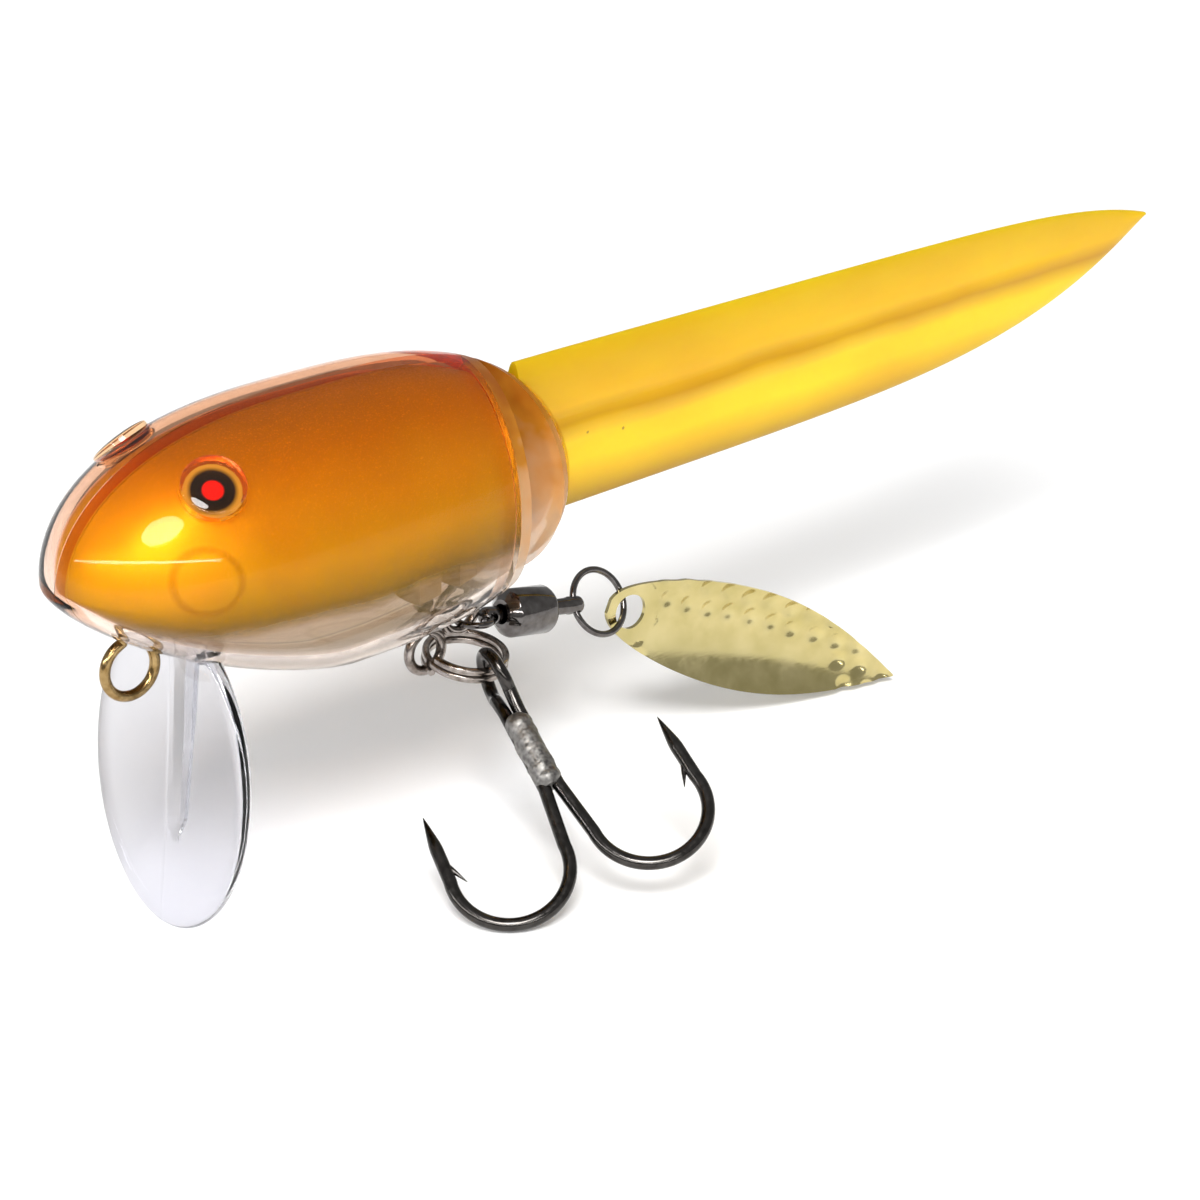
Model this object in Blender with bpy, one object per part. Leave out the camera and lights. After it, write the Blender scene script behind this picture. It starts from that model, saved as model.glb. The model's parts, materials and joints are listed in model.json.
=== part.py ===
"""Jointed tadpole lure: hollow two-half body with a diving lip, soft tail, double hook and swivel blade.

Metres, +Z up. The origin is the centre of the line tie's eye, +X runs from nose to tail, and the lure
lies on a surface at FLOOR_Z on its lip tip and hook bends. The side at -Y is the left side.
"""
import math

import bmesh
import bpy
from mathutils import Matrix, Vector

# Body: an egg with its own outline above and below the axis
FLOOR_Z = -0.0218
NOSE_X = -0.0059
WIDEST_X = 0.0166
REAR_X = 0.0403
BODY_AXIS_Z = 0.00715
BODY_RADIUS = 0.01142
WIDTH_RATIO = 0.96
NOSE_POWER = 2.56
CHIN_POWER = 1.3
CHIN_ROOT = 0.72
REAR_POWER = 3.05
WALL = 0.0016
SEAM_GAP = 0.0001
FIT_GAP = 0.0002
CLOSE_GAP = 0.0001
CONTACT_GAP = 0.00003
CUT_REACH = 0.003
HALF_SPACE = 0.060

# Body joint
PIN_X = 0.0333
PIN_RADIUS = 0.0005
FRONT_END_X = 0.0330
FRONT_END_ANGLE = math.radians(14)
REAR_START_X = 0.0337
REAR_START_ANGLE = math.radians(16)
KNUCKLE_RADIUS = 0.0017
KNUCKLE_LOW_Z = 0.0055
KNUCKLE_HIGH_Z = 0.0105
LUG_THICKNESS = 0.0013
BULKHEAD = 0.0013
PIN_BORE_LOW_Z = 0.0030
PIN_BORE_HIGH_Z = 0.0130
KNUCKLE_ROOT_X = REAR_START_X + 0.0020

# Diving lip: an oval plate that leans forward, with a rib behind its middle
LIP_LEAN = math.radians(5.6)
LIP_TIP_X = 0.0020
LIP_HALF_WIDTH = 0.00945
LIP_HALF_HEIGHT = 0.0124
LIP_THICKNESS = 0.0014
LIP_RIB_DEPTH = 0.0017
LIP_RIB_WIDTH = 0.0009
LIP_RIB_LOW = 0.0081
LIP_RIB_FOOT = 0.0003
LIP_RIB_TOP_Z = BODY_AXIS_Z - 0.0062

# Wire eyes
LINE_TIE_RADIUS = 0.0022
HANGER_RADIUS = 0.00165
HANGER_WIRE = 0.00042
ANCHOR_RADIUS = 0.0012
LINE_TIE_ANCHOR = Vector((0.0, 0.0, 0.0061))
HOOK_HANGER = Vector((0.0276, 0.0, -0.0069))
HOOK_ANCHOR = Vector((0.0276, 0.0, -0.0010))
BLADE_HANGER = Vector((0.0312, 0.0, -0.0045))
BLADE_ANCHOR = Vector((0.0308, 0.0, 0.0006))
BLOCK_HALF_WIDTH = 0.0022
BLOCK_ABOVE_ANCHOR = 0.0023
SLOT_HALF_WIDTH = 0.0006
NECK_HALF_WIDTH = 0.00105
NECK_WIRES = 1.25
PEG_ROOT = 0.0012
CHIN_POCKET_HALF_WIDTH = 0.0008
FEATURE_INSET = 0.0006
FEATURE_END_GAP = 0.0004

# Eyes
EYE_CENTRE = (0.0042, 0.00595, 0.01515)
DOME_RADIUS = 0.0029
DOME_HEIGHT = 0.0004
SOCKET_DEPTH = 0.0010
FOIL_RADIUS = 0.0021
FOIL_THICKNESS = 0.0002

# Rattle chamber in the cheeks
RATTLE_X = 0.0022
RATTLE_Z = 0.0086
RATTLE_BALL_RADIUS = 0.00145
RATTLE_BORE_RADIUS = 0.0016
RATTLE_BOSS_RADIUS = 0.0023
RATTLE_BORE_END = 0.0064
RATTLE_REST_Y = -0.0048

# Soft tail
TAIL_ROOT_X = 0.0371
TAIL_START_X = 0.0420
TAIL_LENGTH = 0.0720
TAIL_ROOT_THICKNESS = 0.0030
TAIL_TIP_THICKNESS = 0.0008
TAIL_PEG_X = 0.0388
TAIL_PEG_Z = 0.0080
TAIL_PEG_RADIUS = 0.0008
TAIL_PEG_ROOT = 0.0010
TAIL_SLOT_LOW_Z = -0.010
TAIL_SLOT_HIGH_Z = 0.022
TAIL_LOW_Z = 0.0016
TAIL_HIGH_Z = 0.0152
TAIL_LOW_RISE = 0.0012
TAIL_HIGH_FALL = 0.0005
TAIL_POINT_RISE = 0.0090
TAIL_POINT_FALL = 0.0026

# Split ring and double hook
SPLIT_RING_RADIUS = 0.0032
SPLIT_RING_STRAND = 0.00062
SPLIT_RING_GAP = 0.00005
SPLIT_RING_TURNS = 2
SPLIT_RING_YAW = math.radians(-30)
SPLIT_RING_TILT = math.radians(8)
SPLIT_RING_ROLL = math.radians(9)
SPLIT_RING_END = math.radians(150)
SPLIT_RING_FRONT = Vector((0.0277, 0.0, -0.00715))
HOOK_ON_RING = math.radians(56)
HOOK_WIRE = 0.00055
SHANK_OFFSET = 0.00057
HOOK_EYE_RADIUS = 0.0019
HOOK_EYE_DROP = 0.00015
HOOK_EYE_GAP = math.radians(20)
HOOK_BEND_RADIUS = 0.00464
HOOK_SPREAD = 0.0007
HOOK_LENGTH = 0.0204
HOOK_HEADING = math.radians(-100.6)
HOOK_PITCH = math.radians(32.6)
HOOK_ROLL = math.radians(18.2)
HOOK_POINT_TURN = math.radians(192)
HOOK_POINT_LENGTH = 0.0059
POINT_TAPER = ((0.45, 0.95), (0.75, 0.6), (1.0, 0.08))
BARB_SPREAD = 0.0011
BARB_LENGTH = 0.0020
BARB_ROOT_RADIUS = 0.00026
BARB_TIP_RADIUS = 0.00008
BRAZE_START = 0.0040
BRAZE_END = 0.0108
BRAZE_RADIUS = 0.00120
BRAZE_TAPER = 0.0008

# Ball-bearing swivel
SWIVEL_RING_RADIUS = 0.0015
SWIVEL_WIRE = 0.00028
SWIVEL_RING_FRONT = Vector((0.0312, 0.0, -0.00545))
SWIVEL_RING_TILT = math.radians(5)
SWIVEL_TILT = math.radians(10.5)
STEM_RADIUS = 0.00075
STEM_HOLE_RADIUS = 0.00046
STEM_HEAD_RADIUS = 0.00130
STEM_HEAD_LENGTH = 0.0005
STEM_NOSE = 0.0008
BARREL_START = 0.00135
BARREL_LENGTH = 0.0052
BARREL_RADIUS = 0.0020
BARREL_WALL = 0.0008
BARREL_BORE = 0.00145
BARREL_CHAMFER = 0.0007
BALL_RADIUS = 0.00028
BALL_CIRCLE = 0.00112
BALL_COUNT = 6
RUNNING_GAP = 0.00008
REAR_HOLE = 0.0093

# Rear ring and blade
REAR_RING_RADIUS = 0.00275
REAR_RING_ROLL = math.radians(30)
REAR_RING_SWING = math.radians(0)
BLADE_HOLE_SWING = math.radians(-20)
BLADE_LENGTH = 0.0315
BLADE_WIDTH = 0.0090
BLADE_THICKNESS = 0.00045
BLADE_CUP = 0.0013
BLADE_HOLE_RADIUS = 0.00150
BLADE_HANG = 0.0007
BLADE_HOLE_OFFSET = 0.0024
BLADE_HEADING = math.radians(-13)
BLADE_ROLL = math.radians(-4)

COLOURS = {
    "amber_shell": ((0.78, 0.42, 0.04, 1.0), 0.12, 0.0),
    "clear_lens": ((0.85, 0.80, 0.70, 1.0), 0.05, 0.0),
    "eye_foil": ((0.30, 0.02, 0.01, 1.0), 0.35, 0.0),
    "bronze_wire": ((0.32, 0.22, 0.10, 1.0), 0.28, 1.0),
    "steel": ((0.55, 0.55, 0.56, 1.0), 0.25, 1.0),
    "black_nickel": ((0.07, 0.065, 0.06, 1.0), 0.22, 1.0),
    "brass": ((0.72, 0.60, 0.25, 1.0), 0.20, 1.0),
    "soft_yellow": ((0.90, 0.66, 0.02, 1.0), 0.35, 0.0),
}


# ---------------------------------------------------------------- helpers

def clear_scene():
    for obj in list(bpy.data.objects):
        bpy.data.objects.remove(obj, do_unlink=True)


def make_material(name):
    colour, roughness, metallic = COLOURS[name]
    material = bpy.data.materials.new(name)
    material.use_nodes = True
    shader = material.node_tree.nodes["Principled BSDF"]
    shader.inputs["Base Color"].default_value = colour
    shader.inputs["Roughness"].default_value = roughness
    shader.inputs["Metallic"].default_value = metallic
    material.diffuse_color = colour
    return material


def add_object(name, bm, material=None, pivot=(0.0, 0.0, 0.0)):
    """Make an object from a bmesh in world coordinates, with its origin at the pivot."""
    pivot = Vector(pivot)
    bmesh.ops.recalc_face_normals(bm, faces=bm.faces)
    bmesh.ops.translate(bm, verts=bm.verts, vec=-pivot)
    mesh = bpy.data.meshes.new(name)
    bm.to_mesh(mesh)
    bm.free()
    mesh.shade_smooth()
    mesh.set_sharp_from_angle(angle=math.radians(35))
    obj = bpy.data.objects.new(name, mesh)
    obj.location = pivot
    bpy.context.scene.collection.objects.link(obj)
    if material:
        obj.data.materials.append(MATERIALS[material])
    return obj


def combine(target, tool, operation):
    """Keep a live Boolean on the target; the tool stays as a hidden guide."""
    modifier = target.modifiers.new(operation.title(), "BOOLEAN")
    modifier.operation = operation
    modifier.solver = "EXACT"
    modifier.object = tool
    tool.hide_render = True
    tool.display_type = "WIRE"


def cut(target, tool):
    combine(target, tool, "DIFFERENCE")


def join(target, tool):
    combine(target, tool, "UNION")


def skin(rings, closed=False):
    """Join rings of equal length with quads; open ends get flat caps."""
    bm = bmesh.new()
    loops = [[bm.verts.new(point) for point in ring] for ring in rings]
    count = len(loops[0])
    pairs = list(zip(loops, loops[1:]))
    if closed:
        pairs.append((loops[-1], loops[0]))
    for first, second in pairs:
        for i in range(count):
            j = (i + 1) % count
            bm.faces.new((first[i], first[j], second[j], second[i]))
    if not closed:
        bm.faces.new(loops[0])
        bm.faces.new(loops[-1])
    bmesh.ops.remove_doubles(bm, verts=bm.verts, dist=1e-7)
    return bm


def frame_axes(axis):
    """Two unit vectors square to the axis."""
    axis = Vector(axis).normalized()
    helper = Vector((0, 0, 1)) if abs(axis.z) < 0.9 else Vector((1, 0, 0))
    side = axis.cross(helper).normalized()
    return side, axis.cross(side)


def cylinder(start, end, radius, sides=20, end_radius=None):
    start, end = Vector(start), Vector(end)
    return turned(start, end - start, [(0.0, radius), ((end - start).length, end_radius or radius)], sides)


def turned(origin, axis, profile, sides=20):
    """Turn a list of (distance along the axis, radius) about the axis; a radius of zero closes an end."""
    axis = Vector(axis).normalized()
    side, other = frame_axes(axis)
    rings = []
    for along, radius in profile:
        centre = Vector(origin) + axis * along
        rings.append([centre + (side * math.cos(a) + other * math.sin(a)) * max(radius, 1e-9)
                      for a in (2 * math.pi * i / sides for i in range(sides))])
    return skin(rings)


def box(low, high):
    bm = bmesh.new()
    bmesh.ops.create_cube(bm, size=1.0)
    low, high = Vector(low), Vector(high)
    for vert in bm.verts:
        vert.co = Vector(low[i] + (vert.co[i] + 0.5) * (high[i] - low[i]) for i in range(3))
    return bm


def wire(points, radii, sides=8, closed=False):
    """Sweep a circle along the points, carrying its frame without twist."""
    count = len(points)
    tangents = []
    for i in range(count):
        before = points[(i - 1) % count] if closed or i > 0 else points[i]
        after = points[(i + 1) % count] if closed or i < count - 1 else points[i]
        tangents.append((after - before).normalized())
    side, _ = frame_axes(tangents[0])
    rings = []
    for i in range(count):
        side = (side - tangents[i] * side.dot(tangents[i])).normalized()
        other = tangents[i].cross(side)
        rings.append([points[i] + (side * math.cos(a) + other * math.sin(a)) * radii[i]
                      for a in (2 * math.pi * k / sides for k in range(sides))])
    return skin(rings, closed)


def ring_points(centre, first, second, radius, count):
    return [centre + (first * math.cos(a) + second * math.sin(a)) * radius
            for a in (2 * math.pi * i / count for i in range(count))]


def round_ring(centre, first, second, radius, wire_radius, count=20, sides=6):
    points = ring_points(centre, first, second, radius, count)
    return wire(points, [wire_radius] * count, sides, closed=True)


# ---------------------------------------------------------------- body outline

def outline(x, shrink=0.0):
    """Half width, height above the axis and depth below it of the body at x, made smaller all round."""
    front = x < WIDEST_X
    length = (WIDEST_X - NOSE_X if front else REAR_X - WIDEST_X) - shrink
    t = min(abs(x - WIDEST_X) / length, 1.0)
    radius = BODY_RADIUS - shrink
    above = radius * math.sqrt(1 - t ** (NOSE_POWER if front else REAR_POWER))
    below = radius * (1 - t ** CHIN_POWER) ** CHIN_ROOT if front else above
    return WIDTH_RATIO * above, above, below


def body_level(x, y, z):
    """Below 1 inside the body, above 1 outside it."""
    width, above, below = outline(x)
    height = above if z > BODY_AXIS_Z else below
    return (y / width) ** 2 + ((z - BODY_AXIS_Z) / height) ** 2


def outward(x, y, z, step=1e-5):
    """The body surface's outward direction near a point on it."""
    slope = Vector((
        body_level(x + step, y, z) - body_level(x - step, y, z),
        body_level(x, y + step, z) - body_level(x, y - step, z),
        body_level(x, y, z + step) - body_level(x, y, z - step),
    ))
    return slope.normalized()


def egg(shrink, stations=24, steps=26):
    """The whole body, solid, made smaller all round by the shrink."""
    nose = NOSE_X + shrink
    rear = REAR_X - shrink
    rings = []
    for i in range(stations + 1):
        x = (nose + rear) / 2 - (rear - nose) / 2 * math.cos(math.pi * i / stations)
        width, above, below = outline(x, shrink)
        ring = []
        for k in range(steps):
            angle = 2 * math.pi * (k + 0.5) / steps
            height = above if math.cos(angle) > 0 else below
            ring.append(Vector((x, width * math.sin(angle), BODY_AXIS_Z + height * math.cos(angle))))
        rings.append(ring)
    return skin(rings)


def wedge_end(bm, x, angle, keep_front):
    """Cut the body off along two upright planes that meet on the middle plane at x."""
    for side in (-1, 1):
        normal = Vector((math.cos(angle), side * math.sin(angle), 0.0))
        if not keep_front:
            normal = Vector((-math.cos(angle), side * math.sin(angle), 0.0))
        geometry = bm.verts[:] + bm.edges[:] + bm.faces[:]
        result = bmesh.ops.bisect_plane(
            bm, geom=geometry, plane_co=Vector((x, 0, 0)), plane_no=normal, clear_outer=True, dist=1e-8)
        edges = [item for item in result["geom_cut"] if isinstance(item, bmesh.types.BMEdge)]
        bmesh.ops.contextual_create(bm, geom=edges)
    return bm


def keep_side(part, side, label):
    """Leave only the half of the part on one side of the seam."""
    far = -side * HALF_SPACE
    near = side * SEAM_GAP / 2
    other_side = box((-HALF_SPACE, min(far, near), -HALF_SPACE), (HALF_SPACE, max(far, near), HALF_SPACE))
    cut(part, add_object(f"tool_other_side_{label}", other_side))


# ---------------------------------------------------------------- front body

def lip_x(z):
    return LIP_TIP_X + (z - FLOOR_Z) * math.tan(LIP_LEAN)


def lip():
    """The oval lip."""
    centre_z = FLOOR_Z + LIP_HALF_HEIGHT
    steps = 36
    edge = []
    for i in range(steps):
        angle = 2 * math.pi * i / steps
        edge.append((LIP_HALF_WIDTH * math.sin(angle), centre_z - LIP_HALF_HEIGHT * math.cos(angle)))
    return skin([[Vector((lip_x(z) + offset, y, z)) for y, z in edge]
                 for offset in (-LIP_THICKNESS / 2, LIP_THICKNESS / 2)])


def lip_rib():
    """The tapered rib behind the middle of the lip."""
    low = FLOOR_Z + LIP_RIB_LOW
    high = LIP_RIB_TOP_Z
    rings = []
    for y in (-LIP_RIB_WIDTH, LIP_RIB_WIDTH):
        rings.append([
            Vector((lip_x(low), y, low)),
            Vector((lip_x(low) + LIP_THICKNESS / 2 + LIP_RIB_FOOT, y, low)),
            Vector((lip_x(high) + LIP_THICKNESS / 2 + LIP_RIB_DEPTH, y, high)),
            Vector((lip_x(high), y, high)),
        ])
    return skin(rings)


def anchor_block(centre_x, top_z):
    half = BLOCK_HALF_WIDTH
    return box((centre_x - half, -half, BODY_AXIS_Z - BODY_RADIUS), (centre_x + half, half, top_z))


def anchor_slots(anchor, eye):
    """Boxes across the seam that hold a wire eye: a narrow neck and a chamber for its inner loop."""
    low_x = min(anchor.x, eye.x) - NECK_HALF_WIDTH
    high_x = max(anchor.x, eye.x) + NECK_HALF_WIDTH
    neck = box((low_x, -SLOT_HALF_WIDTH, eye.z), (high_x, SLOT_HALF_WIDTH, anchor.z))
    reach = ANCHOR_RADIUS + HANGER_WIRE + FIT_GAP
    chamber = box((anchor.x - reach, -SLOT_HALF_WIDTH, anchor.z - reach),
                  (anchor.x + reach, SLOT_HALF_WIDTH, anchor.z + reach))
    return neck, chamber


def peg(anchor):
    """The peg through a wire eye's inner loop, which the left half carries."""
    radius = ANCHOR_RADIUS - HANGER_WIRE - FIT_GAP
    tip_y = SLOT_HALF_WIDTH - FIT_GAP
    return cylinder((anchor.x, -PEG_ROOT, anchor.z), (anchor.x, tip_y, anchor.z), radius, 12)


def rounded_tab(back_x, low_z, high_z):
    """A flat tab from back_x to a round end about the pin."""
    steps = 12
    turn = math.copysign(1.0, PIN_X - back_x)
    edge = [(back_x, -turn * KNUCKLE_RADIUS), (back_x, turn * KNUCKLE_RADIUS)]
    for i in range(steps + 1):
        angle = math.pi / 2 - math.pi * i / steps
        edge.append((PIN_X + turn * KNUCKLE_RADIUS * math.cos(angle),
                     turn * KNUCKLE_RADIUS * math.sin(angle)))
    return skin([[Vector((x, y, z)) for x, y in edge] for z in (low_z, high_z)])


def lug_levels():
    """Lowest and highest Z of each lug, below and above the knuckle."""
    below = (KNUCKLE_LOW_Z - FIT_GAP - LUG_THICKNESS, KNUCKLE_LOW_Z - FIT_GAP)
    above = (KNUCKLE_HIGH_Z + FIT_GAP, KNUCKLE_HIGH_Z + FIT_GAP + LUG_THICKNESS)
    return below, above


def pin_tool(name, radius, low_z, high_z):
    return add_object(name, cylinder((PIN_X, 0, low_z), (PIN_X, 0, high_z), radius, 16))


def eye_place(side):
    """Centre and outward direction of an eye."""
    x, y, z = EYE_CENTRE
    centre = Vector((x, side * y, z))
    return centre, outward(*centre)


def wire_eye_places():
    """Each wire eye's name, outer loop centre, outer loop radius and inner loop centre."""
    return (
        ("line_tie", Vector((0, 0, 0)), LINE_TIE_RADIUS, LINE_TIE_ANCHOR),
        ("hook_hanger", HOOK_HANGER, HANGER_RADIUS, HOOK_ANCHOR),
        ("blade_hanger", BLADE_HANGER, HANGER_RADIUS, BLADE_ANCHOR),
    )


def inner_features(label):
    """Anchor blocks and the rattle boss, trimmed to the inside of the body."""
    blocks = [anchor_block(anchor.x, anchor.z + BLOCK_ABOVE_ANCHOR)
              for _, _, _, anchor in wire_eye_places()]
    features = add_object(f"tool_features_{label}", blocks[0])
    for i, block in enumerate(blocks[1:]):
        join(features, add_object(f"tool_block_{i}_{label}", block))
    boss = cylinder((RATTLE_X, -BODY_RADIUS, RATTLE_Z), (RATTLE_X, BODY_RADIUS, RATTLE_Z),
                    RATTLE_BOSS_RADIUS, 20)
    join(features, add_object(f"tool_boss_{label}", boss))
    trim = wedge_end(egg(FEATURE_INSET), FRONT_END_X - FEATURE_END_GAP, FRONT_END_ANGLE, True)
    combine(features, add_object(f"tool_trim_{label}", trim), "INTERSECT")
    return features


def front_shell(side, label):
    outer = wedge_end(egg(0.0), FRONT_END_X, FRONT_END_ANGLE, True)
    shell = add_object(f"front_shell_{label}", outer, "amber_shell")
    cavity = wedge_end(egg(WALL, stations=18, steps=22), FRONT_END_X - BULKHEAD, FRONT_END_ANGLE, True)
    cut(shell, add_object(f"tool_cavity_{label}", cavity))
    join(shell, inner_features(label))
    join(shell, add_object(f"tool_lip_{label}", lip()))
    join(shell, add_object(f"tool_rib_{label}", lip_rib()))
    cut(shell, pin_tool(f"tool_knuckle_room_{label}", KNUCKLE_RADIUS + 2 * FIT_GAP,
                        KNUCKLE_LOW_Z - FIT_GAP, KNUCKLE_HIGH_Z + FIT_GAP))
    for i, (low_z, high_z) in enumerate(lug_levels()):
        lug = rounded_tab(FRONT_END_X - BULKHEAD / 2, low_z, high_z)
        join(shell, add_object(f"tool_lug_{i}_{label}", lug))
    cut(shell, pin_tool(f"tool_pin_bore_{label}", PIN_RADIUS + FIT_GAP / 2, PIN_BORE_LOW_Z, PIN_BORE_HIGH_Z))
    for name, eye, _, anchor in wire_eye_places():
        for i, slot in enumerate(anchor_slots(anchor, eye)):
            cut(shell, add_object(f"tool_slot_{name}_{i}_{label}", slot))
    pocket_radius = LINE_TIE_RADIUS + HANGER_WIRE + FIT_GAP
    pocket = cylinder((0, -CHIN_POCKET_HALF_WIDTH, 0), (0, CHIN_POCKET_HALF_WIDTH, 0), pocket_radius, 24)
    cut(shell, add_object(f"tool_chin_pocket_{label}", pocket))
    bore = cylinder((RATTLE_X, -RATTLE_BORE_END, RATTLE_Z), (RATTLE_X, RATTLE_BORE_END, RATTLE_Z),
                    RATTLE_BORE_RADIUS, 20)
    cut(shell, add_object(f"tool_rattle_bore_{label}", bore))
    cut(shell, add_object(f"tool_socket_{label}", eye_socket(side)))
    keep_side(shell, side, f"front_{label}")
    if side < 0:
        for name, _, _, anchor in wire_eye_places():
            join(shell, add_object(f"tool_peg_{name}", peg(anchor)))


def eye_socket(side):
    """Stepped hole for the foil and the dome."""
    centre, out = eye_place(side)
    deep = SOCKET_DEPTH + FOIL_THICKNESS + CLOSE_GAP
    return turned(centre - out * deep, out, [
        (0.0, FOIL_RADIUS + CLOSE_GAP),
        (deep - SOCKET_DEPTH, FOIL_RADIUS + CLOSE_GAP),
        (deep - SOCKET_DEPTH, DOME_RADIUS + CLOSE_GAP),
        (deep + CUT_REACH, DOME_RADIUS + CLOSE_GAP),
    ], 24)


def eye(side, label):
    centre, out = eye_place(side)
    foil_base = centre - out * (SOCKET_DEPTH + FOIL_THICKNESS)
    foil = turned(foil_base, out, [(0.0, FOIL_RADIUS), (FOIL_THICKNESS - CONTACT_GAP, FOIL_RADIUS)], 20)
    add_object(f"eye_foil_{label}", foil, "eye_foil", centre)
    base = CONTACT_GAP - SOCKET_DEPTH
    profile = [(base, 0.0), (base, DOME_RADIUS)]
    for i in range(6):
        angle = math.pi / 2 * i / 5
        profile.append((DOME_HEIGHT * math.sin(angle), DOME_RADIUS * math.cos(angle)))
    add_object(f"eye_dome_{label}", turned(centre, out, profile, 20), "clear_lens", centre)


def wire_eye(name, centre, radius, anchor):
    """A wire eye: the outer loop, twisted neck and inner loop."""
    x_axis, z_axis = Vector((1, 0, 0)), Vector((0, 0, 1))
    part = add_object(name, round_ring(centre, x_axis, z_axis, radius, HANGER_WIRE), "bronze_wire", centre)
    inner = round_ring(anchor, x_axis, z_axis, ANCHOR_RADIUS, HANGER_WIRE, 16)
    neck = cylinder(centre + z_axis * radius, anchor - z_axis * ANCHOR_RADIUS, NECK_WIRES * HANGER_WIRE, 10)
    join(part, add_object(f"tool_neck_{name}", neck))
    join(part, add_object(f"tool_inner_{name}", inner))


def rattle_ball():
    place = Vector((RATTLE_X, RATTLE_REST_Y, RATTLE_Z))
    bm = bmesh.new()
    spot = Matrix.Translation(place)
    bmesh.ops.create_icosphere(bm, subdivisions=2, radius=RATTLE_BALL_RADIUS, matrix=spot)
    add_object("rattle_ball", bm, "steel", place)


# ---------------------------------------------------------------- rear body and tail

def joint_pin():
    below, above = lug_levels()
    bm = cylinder((PIN_X, 0, below[0] + FIT_GAP), (PIN_X, 0, above[1] - FIT_GAP), PIN_RADIUS, 14)
    add_object("joint_pin", bm, "steel", (PIN_X, 0, BODY_AXIS_Z))


def tail_slot():
    """The slot between the rear halves that clamps the tail."""
    half = TAIL_ROOT_THICKNESS / 2 + FIT_GAP
    return box((TAIL_ROOT_X - FIT_GAP, -half, TAIL_SLOT_LOW_Z), (REAR_X + CUT_REACH, half, TAIL_SLOT_HIGH_Z))


def rear_shell(side, label):
    outer = wedge_end(egg(0.0), REAR_START_X, REAR_START_ANGLE, False)
    shell = add_object(f"rear_shell_{label}", outer, "amber_shell", (PIN_X, 0, BODY_AXIS_Z))
    for i, (low_z, high_z) in enumerate(lug_levels()):
        cut(shell, pin_tool(f"tool_lug_room_{i}_{label}", KNUCKLE_RADIUS + 2 * FIT_GAP,
                            low_z - 2 * FIT_GAP, high_z + FIT_GAP))
    tab = rounded_tab(KNUCKLE_ROOT_X, KNUCKLE_LOW_Z, KNUCKLE_HIGH_Z)
    join(shell, add_object(f"tool_knuckle_{label}", tab))
    cut(shell, pin_tool(f"tool_pivot_bore_{label}", PIN_RADIUS + FIT_GAP / 2,
                        KNUCKLE_LOW_Z - CUT_REACH, KNUCKLE_HIGH_Z + CUT_REACH))
    cut(shell, add_object(f"tool_tail_slot_{label}", tail_slot()))
    keep_side(shell, side, f"rear_{label}")
    if side < 0:
        half = TAIL_ROOT_THICKNESS / 2
        stub = cylinder((TAIL_PEG_X, -half - TAIL_PEG_ROOT, TAIL_PEG_Z), (TAIL_PEG_X, half, TAIL_PEG_Z),
                        TAIL_PEG_RADIUS, 12)
        join(shell, add_object("tool_tail_peg", stub))


def tail_edges(x):
    """Lower and upper edge of the tail fin at x."""
    u = max((x - TAIL_START_X) / TAIL_LENGTH, 0.0)
    lower = TAIL_LOW_Z + TAIL_LOW_RISE * u + TAIL_POINT_RISE * u ** 5
    upper = TAIL_HIGH_Z - TAIL_HIGH_FALL * u - TAIL_POINT_FALL * u ** 8
    return lower, upper


def soft_tail():
    """A tall fin, thickest along its middle, with a hole for the peg that holds it."""
    stations = 26
    steps = 12
    end_x = TAIL_START_X + TAIL_LENGTH
    rings = []
    for i in range(stations + 1):
        u = (i / stations) ** 0.9
        x = TAIL_ROOT_X + (end_x - TAIL_ROOT_X) * u
        lower, upper = tail_edges(x)
        half_height = (upper - lower) / 2
        half_thick = (TAIL_ROOT_THICKNESS + (TAIL_TIP_THICKNESS - TAIL_ROOT_THICKNESS) * u) / 2
        middle = (upper + lower) / 2
        rings.append([Vector((x, half_thick * math.sin(a), middle + half_height * math.cos(a)))
                      for a in (2 * math.pi * k / steps for k in range(steps))])
    tail = add_object("soft_tail", skin(rings), "soft_yellow", (PIN_X, 0, BODY_AXIS_Z))
    hole = cylinder((TAIL_PEG_X, -CUT_REACH, TAIL_PEG_Z), (TAIL_PEG_X, CUT_REACH, TAIL_PEG_Z),
                    TAIL_PEG_RADIUS + FIT_GAP, 12)
    cut(tail, add_object("tool_tail_hole", hole))


# ---------------------------------------------------------------- split ring and hook

def split_ring_axes():
    """Centre, the ring plane's direction from the hanger and its second direction, and the ring's normal."""
    rearward = Vector((math.cos(SPLIT_RING_YAW), math.sin(SPLIT_RING_YAW), 0))
    leftward = Vector((math.sin(SPLIT_RING_YAW), -math.cos(SPLIT_RING_YAW), 0))
    first = rearward * math.cos(SPLIT_RING_TILT) - Vector((0, 0, math.sin(SPLIT_RING_TILT)))
    upright = rearward * math.sin(SPLIT_RING_TILT) + Vector((0, 0, math.cos(SPLIT_RING_TILT)))
    second = leftward * math.cos(SPLIT_RING_ROLL) - upright * math.sin(SPLIT_RING_ROLL)
    return SPLIT_RING_FRONT + first * SPLIT_RING_RADIUS, first, second, second.cross(first)


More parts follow.
